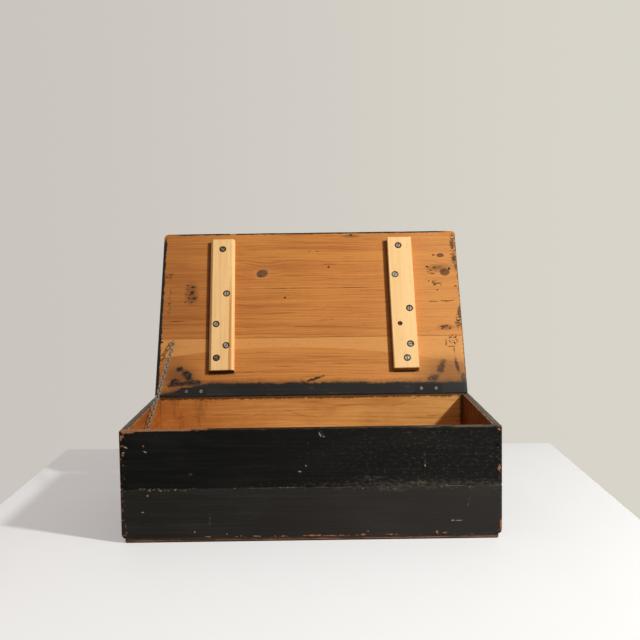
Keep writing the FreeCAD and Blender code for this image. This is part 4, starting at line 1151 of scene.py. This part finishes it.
class PINE_BOX_OT_boards(Operator):
    """Makes the worn boards of the box: front, back, ends and bottom."""

    bl_idname = "pine_box.boards"
    bl_label = "Boards of the box"

    def execute(self, context):
        wood = context.scene.pine_box_wood
        thick = FRONT.extent("front_upper_board")[1][2]
        floor_thick = UNDER.extent("bottom_front_board")[1][2]
        high_tones = wood.upper_paint, wood.upper_right, wood.upper_faded
        low_tones = wood.lower_paint, wood.lower_right, wood.faded_paint
        end_wood = wood.end_light, wood.end_dark
        # the right end's inside in darker wood: painted shade, as it faces away from the lamp
        shaded_end_wood = wood.end_dark, wood.stain_and_shade_dark
        upper = painted_pine("front_upper_paint", 0.7, high_tones, thick, marks=front_marks, rim=front_rim,
                             wear=FRONT_WEAR)
        lower = painted_pine("front_lower_paint", 2.1, low_tones, thick, marks=front_marks, wear=FRONT_WEAR)
        back = painted_pine("back_paint", 3.9, high_tones, thick, rim=back_rim, bare_marks=back_stains_and_shade)
        half = BACK_Y - thick
        left = painted_pine("left_end_paint", 7.4, high_tones, thick, inner=end_wood, rim=end_rim,
                            bare_marks=dark_corner, half=half)
        right = painted_pine("right_end_paint", 8.6, high_tones, thick, inner=shaded_end_wood, rim=end_rim,
                             bare_marks=dark_corner, half=half)
        under = painted_pine("bottom_paint", 5.3, low_tones, floor_thick, marks=bottom_line, margin=thick,
                             wear=FOOT_WEAR)
        upper_boards = (
            ("front_upper_board", FRONT, upper, FRONT_ARRISES, WALL_ENDS, 0),
            ("back_upper_board", BACK, back, BACK_ARRISES, WALL_ENDS, 2),
            ("left_end_board", LEFT, left, END_ARRISES, JOINED_ENDS, 4),
            ("right_end_board", RIGHT, right, END_ARRISES, JOINED_ENDS, 5),
        )
        lower_boards = (
            ("front_lower_board", FRONT_DOWN, FRONT, lower, 1),
            ("back_lower_board", BACK_DOWN, BACK, back, 3),
        )
        for node, place, *finish in upper_boards:
            worn_board(node, place, "box", "painted_pine", *finish)
        for node, place, grain_place, material, seed in lower_boards:
            worn_board(node, place, "box", "painted_pine", material, LOWER_ARRISES, WALL_ENDS, seed,
                       plan_rounds=FOOT_CORNERS, grain_place=grain_place)
        for seed, node in ((6, "bottom_front_board"), (7, "bottom_back_board")):
            worn_board(node, ACROSS, "box", "painted_pine", under, BOTTOM_ARRISES, BOTTOM_ENDS, seed,
                       corner_wear=0.0, grain_place=UNDER, swing=FOOT_SWING, trim=FOOT_TRIM)
        return {"FINISHED"}


LID_CORNER_ROUNDS = (6.4 * MM, 3.4 * MM)
LID_CORNER_WEAR = 1.2
LID_FRONT_ARRISES = (0.15, 1.1, 1.0, 0.3)
LID_BACK_ARRISES = (0.6, 0.15, 0.3, 0.5)
LID_FRONT_HEART = 60 * MM
LID_BACK_HEART = -50 * MM


class PINE_BOX_OT_lid(Operator):
    """Makes the two worn boards of the lid."""

    bl_idname = "pine_box.lid"
    bl_label = "Boards of the lid"

    def execute(self, context):
        front = lid_pine("lid_front_pine", 1.3, LID_FRONT_HEART)
        back = lid_pine("lid_back_pine", 4.4, LID_BACK_HEART)
        worn_board("lid_front_board", LID, "lid", "lid_pine", front, LID_FRONT_ARRISES, WALL_ENDS, 21,
                   LID_CORNER_WEAR, LID_CORNER_ROUNDS)
        worn_board("lid_back_board", LID, "lid", "lid_pine", back, LID_BACK_ARRISES, WALL_ENDS, 27)
        return {"FINISHED"}


# Screws through each batten: shares of its width from the middle and of its length from the hinge, and the
# slot's turn in degrees
BATTEN_SCREWS = {
    "left": ((-0.01, 0.92, 60), (0.17, 0.57, 82), (-0.24, 0.34, 50), (0.17, 0.18, 52), (-0.21, 0.09, 20)),
    "right": ((-0.06, 0.933, 75), (-0.26, 0.703, 52), (0.25, 0.44, 88), (0.2, 0.174, 10), (0.04, 0.072, 95)),
}
# How rusty each of those screws is
SCREW_RUST = {"left": (0.16, 0.0, 0.08, 0.0, 0.2), "right": (0.06, -0.06, 0.08, 0.04, 0.0)}
# How pale each batten is, how strong the brown stripe along it, and how black its hinge end
BATTEN_TONES = {"left": (0.1, 0.9, 0.92), "right": (0.2, 0.0, 0.6)}
SPARE_HOLES = {"left": (), "right": ((-0.17, 0.326),)}
HEAD_RADIUS = 4.5 * MM
HEAD_DEPTH = 0.35 * MM
SINK_RADIUS = 6.0 * MM
SINK_DEPTH = 1.3 * MM
SINK_SOFT = 0.3
SPARE_RADIUS = 4.2 * MM
SPARE_DEEPER = 2
SPARE_SOFT = 0.6
BATTEN_CHAMFERS = {"left": 3.5 * MM, "right": 0.8 * MM}
BATTEN_RADII = np.array((0.5, 0.5, 0.5, 0.5, 0.2, 0.2)) * MM
BATTEN_END = 0.35 * MM
BATTEN_BED = 0.4 * MM
BATTEN_SPACING = 0.6 * MM
BARE_FACE = 0.05 * MM
FACE_COLUMNS = 58


class PINE_BOX_OT_battens(Operator):
    """Makes the two chamfered battens, with a sinking for each screw and one hole without a screw."""

    bl_idname = "pine_box.battens"
    bl_label = "Battens"

    def execute(self, context):
        for seed, side in enumerate(("left", "right")):
            material = batten_pine(f"{side}_batten_pine", 6.1 + 2.3 * seed, *BATTEN_TONES[side])
            self.batten(side, material, 31 + 7 * seed)
        return {"FINISHED"}

    def batten(self, side, material, seed):
        """A hexagon outline with two planed corners, carried up the lid. Around each screw the bare face goes
        down by a smooth step of the distance from the screw."""
        place = batten_place(side)
        low, high = place.extent(f"{side}_batten")
        half, deep = high[1], high[2] + BATTEN_BED
        bevel = BATTEN_CHAMFERS[side]
        corners = np.array(((-half, bevel), (bevel - half, 0), (half - bevel, 0), (half, bevel), (half, deep),
                            (-half, deep)))
        face = np.linspace(0, 1, FACE_COLUMNS)[1:-1]
        few = crowded(5)
        sides = few, face, few, few, few, few
        points, edge, stations, around = worn_bar(
            low[0], high[0], corners, BATTEN_RADII, BATTEN_END, sides, BATTEN_SPACING, seed)
        width, reach = 2 * half, high[0] - low[0]
        sink = np.zeros(len(points))
        for across, along, *_ in BATTEN_SCREWS[side]:
            screw = self.sinking(points, along * reach, across * width, SINK_RADIUS, SINK_SOFT)
            sink = np.maximum(sink, screw)
        for across, along in SPARE_HOLES[side]:
            hole = self.sinking(points, along * reach, across * width, SPARE_RADIUS, SPARE_SOFT)
            sink = np.maximum(sink, SPARE_DEEPER * hole)
        bare = points[:, 2] < BARE_FACE
        dressed = points.copy()
        dressed[:, 2] += np.where(bare, sink * SINK_DEPTH, 0)
        faces = tube_faces(stations, around, place.mirrored())
        piece = add_piece(f"worn_{side}_batten", place.world(dressed), faces, material,
                          {"plank": points, "edge": edge, "sink": np.where(bare, sink, 0)})
        stand_in(piece, "lid", f"{side}_batten")

    def sinking(self, points, along, across, radius, soft):
        """1 within a radius of a screw, and 0 outside it, by a smooth step of the distance."""
        away = np.hypot(points[:, 0] - along, points[:, 1] - across) / radius
        step = np.clip((1 - away) / soft, 0, 1)
        return step * step * (3 - 2 * step)


SLOT_HALF = 0.11
RIM_GRIME = 0.3
SLOT_GRIME = 0.3
SLOT_WALL = 0.015
HALF_CHORDS = np.array((-1, -0.97, -0.9, -0.78, -0.62, -0.45, -0.28, -0.16,
                        -SLOT_HALF - SLOT_WALL, -SLOT_HALF + SLOT_WALL, 0))
CHORDS = np.concatenate((HALF_CHORDS, -HALF_CHORDS[-2::-1]))
CHORD_STEPS = 21
HEAD_DOME = 0.05
HEAD_FLAT = 0.5
SLOT_FLOOR = 0.02
SCREW_ANGLE = math.radians(30)
STEM_SIDES = 12


def screw_head(radius, sink, slot_deep):
    """A slotted countersunk head about Z, its top at 0.

    Chords of a disc: y is one parameter, x the other times sqrt(1 - y squared). The top is a low dome, and
    between the slot's two chords it drops to the slot's floor. The underside is a cone to a flat of half the
    radius. Both meet along the rim."""
    shares = np.linspace(-1, 1, CHORD_STEPS)
    y = np.repeat(CHORDS[:, None], len(shares), axis=1)
    x = shares[None, :] * np.sqrt(np.clip(1 - y * y, 0, 1))
    out = np.hypot(x, y)
    slot = np.abs(y) < SLOT_HALF
    dome = -HEAD_DOME * radius * out ** 4
    top = dome - slot_deep * slot
    cone = dome - sink * np.clip((1 - out) / (1 - HEAD_FLAT), 0, 1)
    low = np.minimum(cone, top - SLOT_FLOOR * radius * (1 - out))
    grime = np.clip((out - 0.55) / 0.4, 0, 1) * RIM_GRIME + SLOT_GRIME * slot
    upper = np.stack((x * radius, y * radius, top), axis=-1).reshape(-1, 3)
    under = np.stack((x * radius, y * radius, low), axis=-1).reshape(-1, 3)
    rows, columns = y.shape
    first = np.arange(rows - 1)[:, None] * columns + np.arange(columns - 1)
    quads = np.stack((first, first + 1, first + columns + 1, first + columns), axis=-1).reshape(-1, 4)
    faces = np.concatenate((quads, quads[:, ::-1] + len(upper)))
    return np.concatenate((upper, under)), faces, np.concatenate((grime.ravel(), grime.ravel()))


def lathe(profile, sides):
    """A profile of radius and height turned about Z: radius times cosine and sine, closed by two poles."""
    angle = np.arange(sides) * math.tau / sides
    radius, height = np.array(profile).T
    x = radius[:, None] * np.cos(angle)
    y = radius[:, None] * np.sin(angle)
    z = np.broadcast_to(height[:, None], x.shape)
    ring = np.stack((x, y, z), axis=-1).reshape(-1, 3)
    poles = np.array(((0, 0, height[0]), (0, 0, height[-1])))
    return np.concatenate((ring, poles)), tube_faces(len(profile), sides, True)


def gathered(parts):
    """Several shapes of points and face tables as one."""
    points, faces, count = [], [], 0
    for table, face_tables in parts:
        points.append(table)
        faces += [face + count for face in face_tables]
        count += len(table)
    return np.concatenate(points), faces


def wood_screw(radius, sink, shank, reach, slot_deep):
    """A whole screw about Z, its head at 0 and its point down: the slotted head, and a turned shank."""
    head, quads, grime = screw_head(radius, sink, slot_deep)
    profile = ((shank * 0.2, -reach), (shank, -reach * 0.75), (shank, -sink * 0.8))
    stem, stem_faces = lathe(profile, STEM_SIDES)
    points, faces = gathered(((head, (quads,)), (stem, stem_faces)))
    return points, faces, np.concatenate((grime, np.full(len(stem), RIM_GRIME)))


def set_screws(name, screw, spots, material, body, node):
    """Copies of a screw at spots: each a centre, the ways out of the wood and along the slot, and rust."""
    points, faces, grime = screw
    parts, dirt = [], []
    for centre, outward, along, rust in spots:
        turn = np.array((along, np.cross(outward, along), outward))
        parts.append((centre + points @ turn, faces))
        dirt.append(grime + rust)
    piece = add_piece(name, *gathered(parts), material, {"grime": np.concatenate(dirt)}, SCREW_ANGLE)
    merge_doubles(piece)
    stand_in(piece, body, node)


def merge_doubles(piece):
    """Welds coincident points, so that seams and poles are closed, and turns all faces outwards."""
    shape = bmesh.new()
    shape.from_mesh(piece.data)
    bmesh.ops.remove_doubles(shape, verts=shape.verts, dist=1e-6)
    bmesh.ops.dissolve_degenerate(shape, edges=shape.edges, dist=1e-7)
    bmesh.ops.recalc_face_normals(shape, faces=shape.faces)
    shape.to_mesh(piece.data)
    shape.free()


HINGE_SCREW_DROP = 9 * MM
HINGE_SCREW_SPREAD = 11 * MM
HINGE_INSET = 58 * MM
HINGE_SCREW_RADIUS = 3.3 * MM
HINGE_SCREW_PROUD = 0.1 * MM


class PINE_BOX_OT_screws(Operator):
    """Makes the slotted screws of the battens and of the hinges."""

    bl_idname = "pine_box.screws"
    bl_label = "Screws"

    def execute(self, context):
        metal = context.scene.pine_box_metal
        steel = old_metal("screw_steel", metal.steel, amount=-0.02, metallic=0.9, grimed=True)
        black = old_metal("hinge_screw_iron", metal.dull, amount=0.05, metallic=0.6, dirt=metal.iron,
                          grimed=True)
        long_screw = wood_screw(HEAD_RADIUS, sink=2.6 * MM, shank=2.0 * MM, reach=17.5 * MM,
                                slot_deep=1.1 * MM)
        for side, shares in BATTEN_SCREWS.items():
            place = batten_place(side)
            low, high = place.extent(f"{side}_batten")
            spots = []
            for (across, along, turn), rust in zip(shares, SCREW_RUST[side]):
                centre = place.world(np.array((along * (high[0] - low[0]), across * 2 * high[1], HEAD_DEPTH)))
                angle = math.radians(turn)
                slot = math.cos(angle) * place.rows[1] + math.sin(angle) * place.rows[0]
                spots.append((centre, -place.rows[2], slot, rust))
            set_screws(f"{side}_slotted_screws", long_screw, spots, steel, "lid",
                       f"{side}_batten_screws")
        short_screw = wood_screw(HINGE_SCREW_RADIUS, sink=1.4 * MM, shank=1.5 * MM, reach=8.5 * MM,
                                 slot_deep=0.6 * MM)
        on_lid = (LID.origin + (LID_THICK + HINGE_SCREW_PROUD) * LID_IN
                  + (HINGE_SCREW_DROP - LID_LOW[1]) * LID_UP)
        on_box = (BACK_Y + HINGE_SCREW_PROUD) * Y + (PIN[2] - HINGE_SCREW_DROP) * Z
        hinge_x = RIGHT_X - HINGE_INSET
        middles = [side * hinge_x + way * HINGE_SCREW_SPREAD for side in (-1, 1) for way in (-1, 1)]
        lid_spots = [(on_lid + x * X, LID_IN, X, 0.0) for x in middles]
        box_spots = [(on_box + x * X, Y, X, 0.0) for x in middles]
        set_screws("lid_hinge_screws", short_screw, lid_spots, black, "lid", "hinge_lid_screws")
        set_screws("box_hinge_screws", short_screw, box_spots, black, "box", "hinge_box_screws")
        return {"FINISHED"}


class PINE_BOX_OT_ironwork(Operator):
    """Gives the hinge leaves, the pins and the nails their painted and rusted iron."""

    bl_idname = "pine_box.ironwork"
    bl_label = "Hinges and nails"

    def execute(self, context):
        metal = context.scene.pine_box_metal
        black = old_metal("black_iron", metal.iron, amount=-0.05, metallic=0.0, shine=PAINT_SHINE)
        buried = painted_nails("painted_nails")
        parts = "box_leaf", "lid_leaf", "pin"
        hinges = [f"{side}_hinge_{part}" for side in ("left", "right") for part in parts]
        finishes = {black: hinges, buried: ("front_nails", "back_nails", "bottom_nails")}
        for material, nodes in finishes.items():
            for node in nodes:
                slots = frame["nodes"][node].data.materials
                slots.clear()
                slots.append(material)
        return {"FINISHED"}


def ring_tube(path, normal, wire, sides):
    """A closed wire: a circle of so many sides carried round a closed flat path with this normal."""
    ahead = np.roll(path, -1, axis=0) - np.roll(path, 1, axis=0)
    ahead /= np.linalg.norm(ahead, axis=1, keepdims=True)
    outward = np.cross(ahead, normal)
    angle = np.arange(sides) * math.tau / sides
    ring = outward[:, None, :] * np.cos(angle)[:, None] + normal * np.sin(angle)[:, None]
    points = (path[:, None, :] + wire * ring).reshape(-1, 3)
    first = np.arange(len(path))[:, None] * sides
    after = np.roll(first, -1, axis=0)
    here = np.arange(sides)
    step = np.roll(here, -1)
    quads = np.stack((first + here, after + here, after + step, first + step), axis=-1).reshape(-1, 4)
    return points, (quads,)


EYE_RING = 3.2 * MM
EYE_STAND = 4.3 * MM
EYE_DEPTH = 8 * MM
EYE_POINT = 2 * MM
EYE_STEPS = 28
EYE_SIDES = 10
WALL_EYE = np.array((-218.7, -38.0, 116.5)) * MM
LID_EYE_X = -210.0 * MM
LID_EYE_RISE = 87.0 * MM
LID_EYE = LID.origin + LID_EYE_X * X + LID_EYE_RISE * LID_UP + (LID_THICK + EYE_STAND) * LID_IN
CHAIN_SPAN = LID_EYE - WALL_EYE
CHAIN_LENGTH = float(np.linalg.norm(CHAIN_SPAN))
CHAIN_WAY = CHAIN_SPAN / CHAIN_LENGTH
LINKS = 30
LINK_GAP = 0.2 * MM
LINK_BOW = 2.4 * MM
BOW_STEPS = 9
LINK_SIDES = 8
CHAIN_SAG = 4.0 * MM
TWIST_LINKS = 3


class PINE_BOX_OT_eyes(Operator):
    """Makes the two screw eyes that hold the chain."""

    bl_idname = "pine_box.eyes"
    bl_label = "Screw eyes"

    def execute(self, context):
        metal = context.scene.pine_box_metal
        steel = old_metal("eye_steel", metal.chain, amount=0.03, metallic=0.8)
        across = np.cross(X, CHAIN_WAY)
        across /= np.linalg.norm(across)
        self.eye("chain_wall_eye", "box", WALL_EYE, X, across, metal.eye_wire, steel)
        self.eye("chain_lid_eye", "lid", LID_EYE, LID_IN, X, metal.eye_wire, steel)
        return {"FINISHED"}

    def eye(self, node, body, centre, outward, normal, wire, material):
        """A round wire ring in the plane square to its normal, and a turned stem into the wood."""
        turn = np.linspace(0, math.tau, EYE_STEPS, endpoint=False)[:, None]
        aside = np.cross(normal, outward)
        path = EYE_RING * (np.cos(turn) * outward + np.sin(turn) * aside)
        ring = ring_tube(path, normal, wire, EYE_SIDES)
        reach = EYE_STAND + EYE_DEPTH
        profile = (wire * 0.2, -reach), (wire * 1.1, EYE_POINT - reach), (wire, -EYE_STAND), (wire, -EYE_RING)
        stem, faces = lathe(profile, STEM_SIDES)
        frame_rows = np.array((aside, np.cross(outward, aside), outward))
        points, tables = gathered((ring, (stem @ frame_rows, faces)))
        piece = add_piece(f"steel_{node}", centre + points, tables, material)
        merge_doubles(piece)
        stand_in(piece, body, node)


class PINE_BOX_OT_chain(Operator):
    """Makes the links of the stay chain, bending between the box and the lid."""

    bl_idname = "pine_box.chain"
    bl_label = "Stay chain"

    def execute(self, context):
        metal = context.scene.pine_box_metal
        wire = metal.link_wire
        ring_inside = EYE_RING - metal.eye_wire
        inner = (CHAIN_LENGTH - 2 * ring_inside + (LINKS + 1) * LINK_GAP) / LINKS
        link, tables = self.link(inner / 2 - LINK_BOW + wire, wire)
        side = np.cross(CHAIN_WAY, Z)
        side /= np.linalg.norm(side)
        down = np.cross(CHAIN_WAY, side)
        down *= -np.sign(down[2])
        parts = []
        for i in range(LINKS):
            along = ring_inside - LINK_GAP + inner / 2 + i * (inner - LINK_GAP)
            share = along / CHAIN_LENGTH
            way = CHAIN_WAY + down * 4 * CHAIN_SAG * (1 - 2 * share) / CHAIN_LENGTH
            way /= np.linalg.norm(way)
            normal = X - way * (X @ way)
            normal /= np.linalg.norm(normal)
            across = np.cross(normal, way)
            from_end = min(i, LINKS - 1 - i)
            roll = math.pi / 2 * (i + 0.5 * min(1, from_end / TWIST_LINKS))
            turned = math.cos(roll) * across + math.sin(roll) * normal
            rows = np.array((way, turned, np.cross(way, turned)))
            middle = WALL_EYE + CHAIN_WAY * along + down * 4 * CHAIN_SAG * share * (1 - share)
            parts.append((middle + link @ rows, tables))
        steel = old_metal("chain_steel", metal.chain, amount=0.03, metallic=0.8)
        piece = add_piece("steel_stay_chain", *gathered(parts), steel)
        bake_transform(piece)
        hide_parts("stay_chain")
        return {"FINISHED"}

    def link(self, half, wire):
        """An oval of wire along X: two half circles of the bow's radius, joined by two straights."""
        turn = np.linspace(-math.pi / 2, math.pi / 2, BOW_STEPS)
        end = np.stack((half + LINK_BOW * np.cos(turn), LINK_BOW * np.sin(turn), 0 * turn), axis=1)
        path = np.concatenate((end, end * (-1, -1, 1)))
        return ring_tube(path, Z, wire, LINK_SIDES)


# Stage: plinth, light and the camera of the photograph

PHOTO_SIDE = 640
FOCAL = 1023.0
EYE = np.array((9.1, -1373.6, 362.2)) * MM
PITCH, YAW, ROLL = (math.radians(angle) for angle in (4.205, -0.199, 0.773))
SENSOR = 36.0
PLINTH_LOW = np.array((-0.446, -0.75, -0.03))
PLINTH_HIGH = np.array((0.428, 0.455, 0.0))
PLINTH_ARRIS = 3 * MM
PLINTH_SPACING = 0.1
TO_KEY = np.array((0.664, -0.459, 0.590))
KEY_AWAY = 2.107
AIM = np.array((0.0, 0.0, 0.18))
BACKDROP_SPREAD = 0.3


def seen_rays(weave):
    """1 for what is seen directly, in metal or through glass, and 0 for light that falls on the box."""
    rays = weave.add("ShaderNodeLightPath").outputs
    return weave.most(rays["Is Camera Ray"], rays["Is Glossy Ray"], rays["Is Transmission Ray"])


class PINE_BOX_OT_stage(Operator):
    """Makes the plinth, the lamp, the even sky and the camera."""

    bl_idname = "pine_box.stage"
    bl_label = "Stage"

    def execute(self, context):
        stage = context.scene.pine_box_stage
        context.scene.view_settings.view_transform = "Standard"
        self.plinth(stage)
        self.key(stage)
        self.sky(context.scene, stage)
        self.camera(context.scene)
        return {"FINISHED"}

    def plinth(self, stage):
        """A slab with rounded arrises, faintly mottled."""
        material, w, shader = new_material("plinth_white", 0.25)
        place = w.add("ShaderNodeTexCoord").outputs["Object"]
        mottle = w.noise(place, (14.0, 14.0, 14.0))
        tone = w.mix(w.rise(w.split(place)[0], PLINTH_LOW[0], PLINTH_HIGH[0]), tuple(stage.plinth),
                     tuple(stage.plinth_right))
        w.feed(shader["Base Color"], w.mix(w.times(mottle, 0.03), tone, (0.0, 0.0, 0.0)))
        shader["Roughness"].default_value = 0.6
        nodes = material.node_tree.nodes
        shown = w.add("ShaderNodeEmission")
        w.feed(shown.inputs["Color"], tuple(stage.plinth_seen))
        both = w.add("ShaderNodeMixShader")
        lift = w.times(seen_rays(w), stage.plinth_lift)
        w.call(both, lift, nodes["Principled BSDF"].outputs[0], shown.outputs[0])
        w.feed(nodes["Material Output"].inputs["Surface"], both.outputs[0])
        points, _, stations, around = worn_bar(
            PLINTH_LOW[0], PLINTH_HIGH[0], rectangle(PLINTH_LOW, PLINTH_HIGH), (PLINTH_ARRIS,) * 4,
            PLINTH_ARRIS, (crowded(4),) * 4, PLINTH_SPACING, seed=3, corner_wear=0.0)
        add_piece("plinth", points, tube_faces(stations, around, False), material)

    def key(self, stage):
        """A round lamp above the right front, aimed at the box."""
        lamp = bpy.data.lights.new("key", "AREA")
        lamp.shape = "DISK"
        lamp.size = stage.key_size
        lamp.energy = stage.key_power
        lamp.color = stage.key_tint
        way = TO_KEY / np.linalg.norm(TO_KEY)
        side = np.cross(Z, way)
        side /= np.linalg.norm(side)
        rows = np.column_stack((side, np.cross(way, side), way, AIM + KEY_AWAY * way))
        holder = bpy.data.objects.new("key", lamp)
        holder.matrix_world = Matrix([*rows.tolist(), (0, 0, 0, 1)])
        bpy.context.scene.collection.objects.link(holder)

    def sky(self, scene, stage):
        """Even light, seen directly and in metal as the grey of the backdrop."""
        world = bpy.data.worlds.new("studio")
        world.use_nodes = True
        scene.world = world
        w = Weave(world.node_tree)
        out = world.node_tree.nodes["World Output"]
        light = world.node_tree.nodes["Background"]
        light.inputs["Color"].default_value = (*stage.sky_tint, 1.0)
        light.inputs["Strength"].default_value = stage.sky
        shown = w.add("ShaderNodeBackground")
        sideways = w.split(w.add("ShaderNodeTexCoord").outputs["Generated"])[0]
        share = w.rise(sideways, -BACKDROP_SPREAD, BACKDROP_SPREAD)
        w.feed(shown.inputs["Color"], w.mix(share, tuple(stage.backdrop), tuple(stage.backdrop_right)))
        both = w.add("ShaderNodeMixShader")
        w.call(both, seen_rays(w), light.outputs[0], shown.outputs[0])
        w.feed(out.inputs["Surface"], both.outputs[0])

    def camera(self, scene):
        """The photograph's camera, from its place, its three turns and its focal length in pixels."""
        yaw, pitch, roll = (np.array(Matrix.Rotation(angle, 3, axis))
                            for angle, axis in ((-YAW, "Z"), (PITCH, "X"), (-ROLL, "Z")))
        right, down, ahead = roll @ pitch @ np.array((X, -Z, Y)) @ yaw
        rows = np.column_stack((right, -down, -ahead, EYE))
        lens = bpy.data.cameras.new("camera")
        lens.sensor_width = SENSOR
        lens.lens = FOCAL * SENSOR / PHOTO_SIDE
        holder = bpy.data.objects.new("camera", lens)
        holder.matrix_world = Matrix([*rows.tolist(), (0, 0, 0, 1)])
        scene.collection.objects.link(holder)
        scene.camera = holder


OPERATORS = (
    PINE_BOX_OT_stage, PINE_BOX_OT_boards, PINE_BOX_OT_lid, PINE_BOX_OT_battens, PINE_BOX_OT_screws,
    PINE_BOX_OT_ironwork, PINE_BOX_OT_eyes, PINE_BOX_OT_chain,
)


class PINE_BOX_PT_panel(Panel):
    """Lists the pieces of the box and the settings that dress them."""

    bl_idname = "PINE_BOX_PT_panel"
    bl_label = "Pine Box"
    bl_space_type = "VIEW_3D"
    bl_region_type = "UI"
    bl_category = "Pine Box"

    def draw(self, context):
        for operator in OPERATORS:
            self.layout.operator(operator.bl_idname)
        for key in SETTINGS:
            settings = getattr(context.scene, key)
            for name in settings.__annotations__:
                self.layout.prop(settings, name)


SETTINGS = {"pine_box_wood": PineBoxWood, "pine_box_metal": PineBoxMetal, "pine_box_stage": PineBoxStage}
CLASSES = (*SETTINGS.values(), *OPERATORS, PINE_BOX_PT_panel)


def register():
    for cls in CLASSES:
        bpy.utils.register_class(cls)
    for key, cls in SETTINGS.items():
        setattr(bpy.types.Scene, key, PointerProperty(type=cls))


def unregister():
    for key in SETTINGS:
        delattr(bpy.types.Scene, key)
    for cls in reversed(CLASSES):
        bpy.utils.unregister_class(cls)


def main():
    register()
    for operator in OPERATORS:
        package, name = operator.bl_idname.split(".")
        getattr(getattr(bpy.ops, package), name)()


if __name__ == "__main__":
    main()
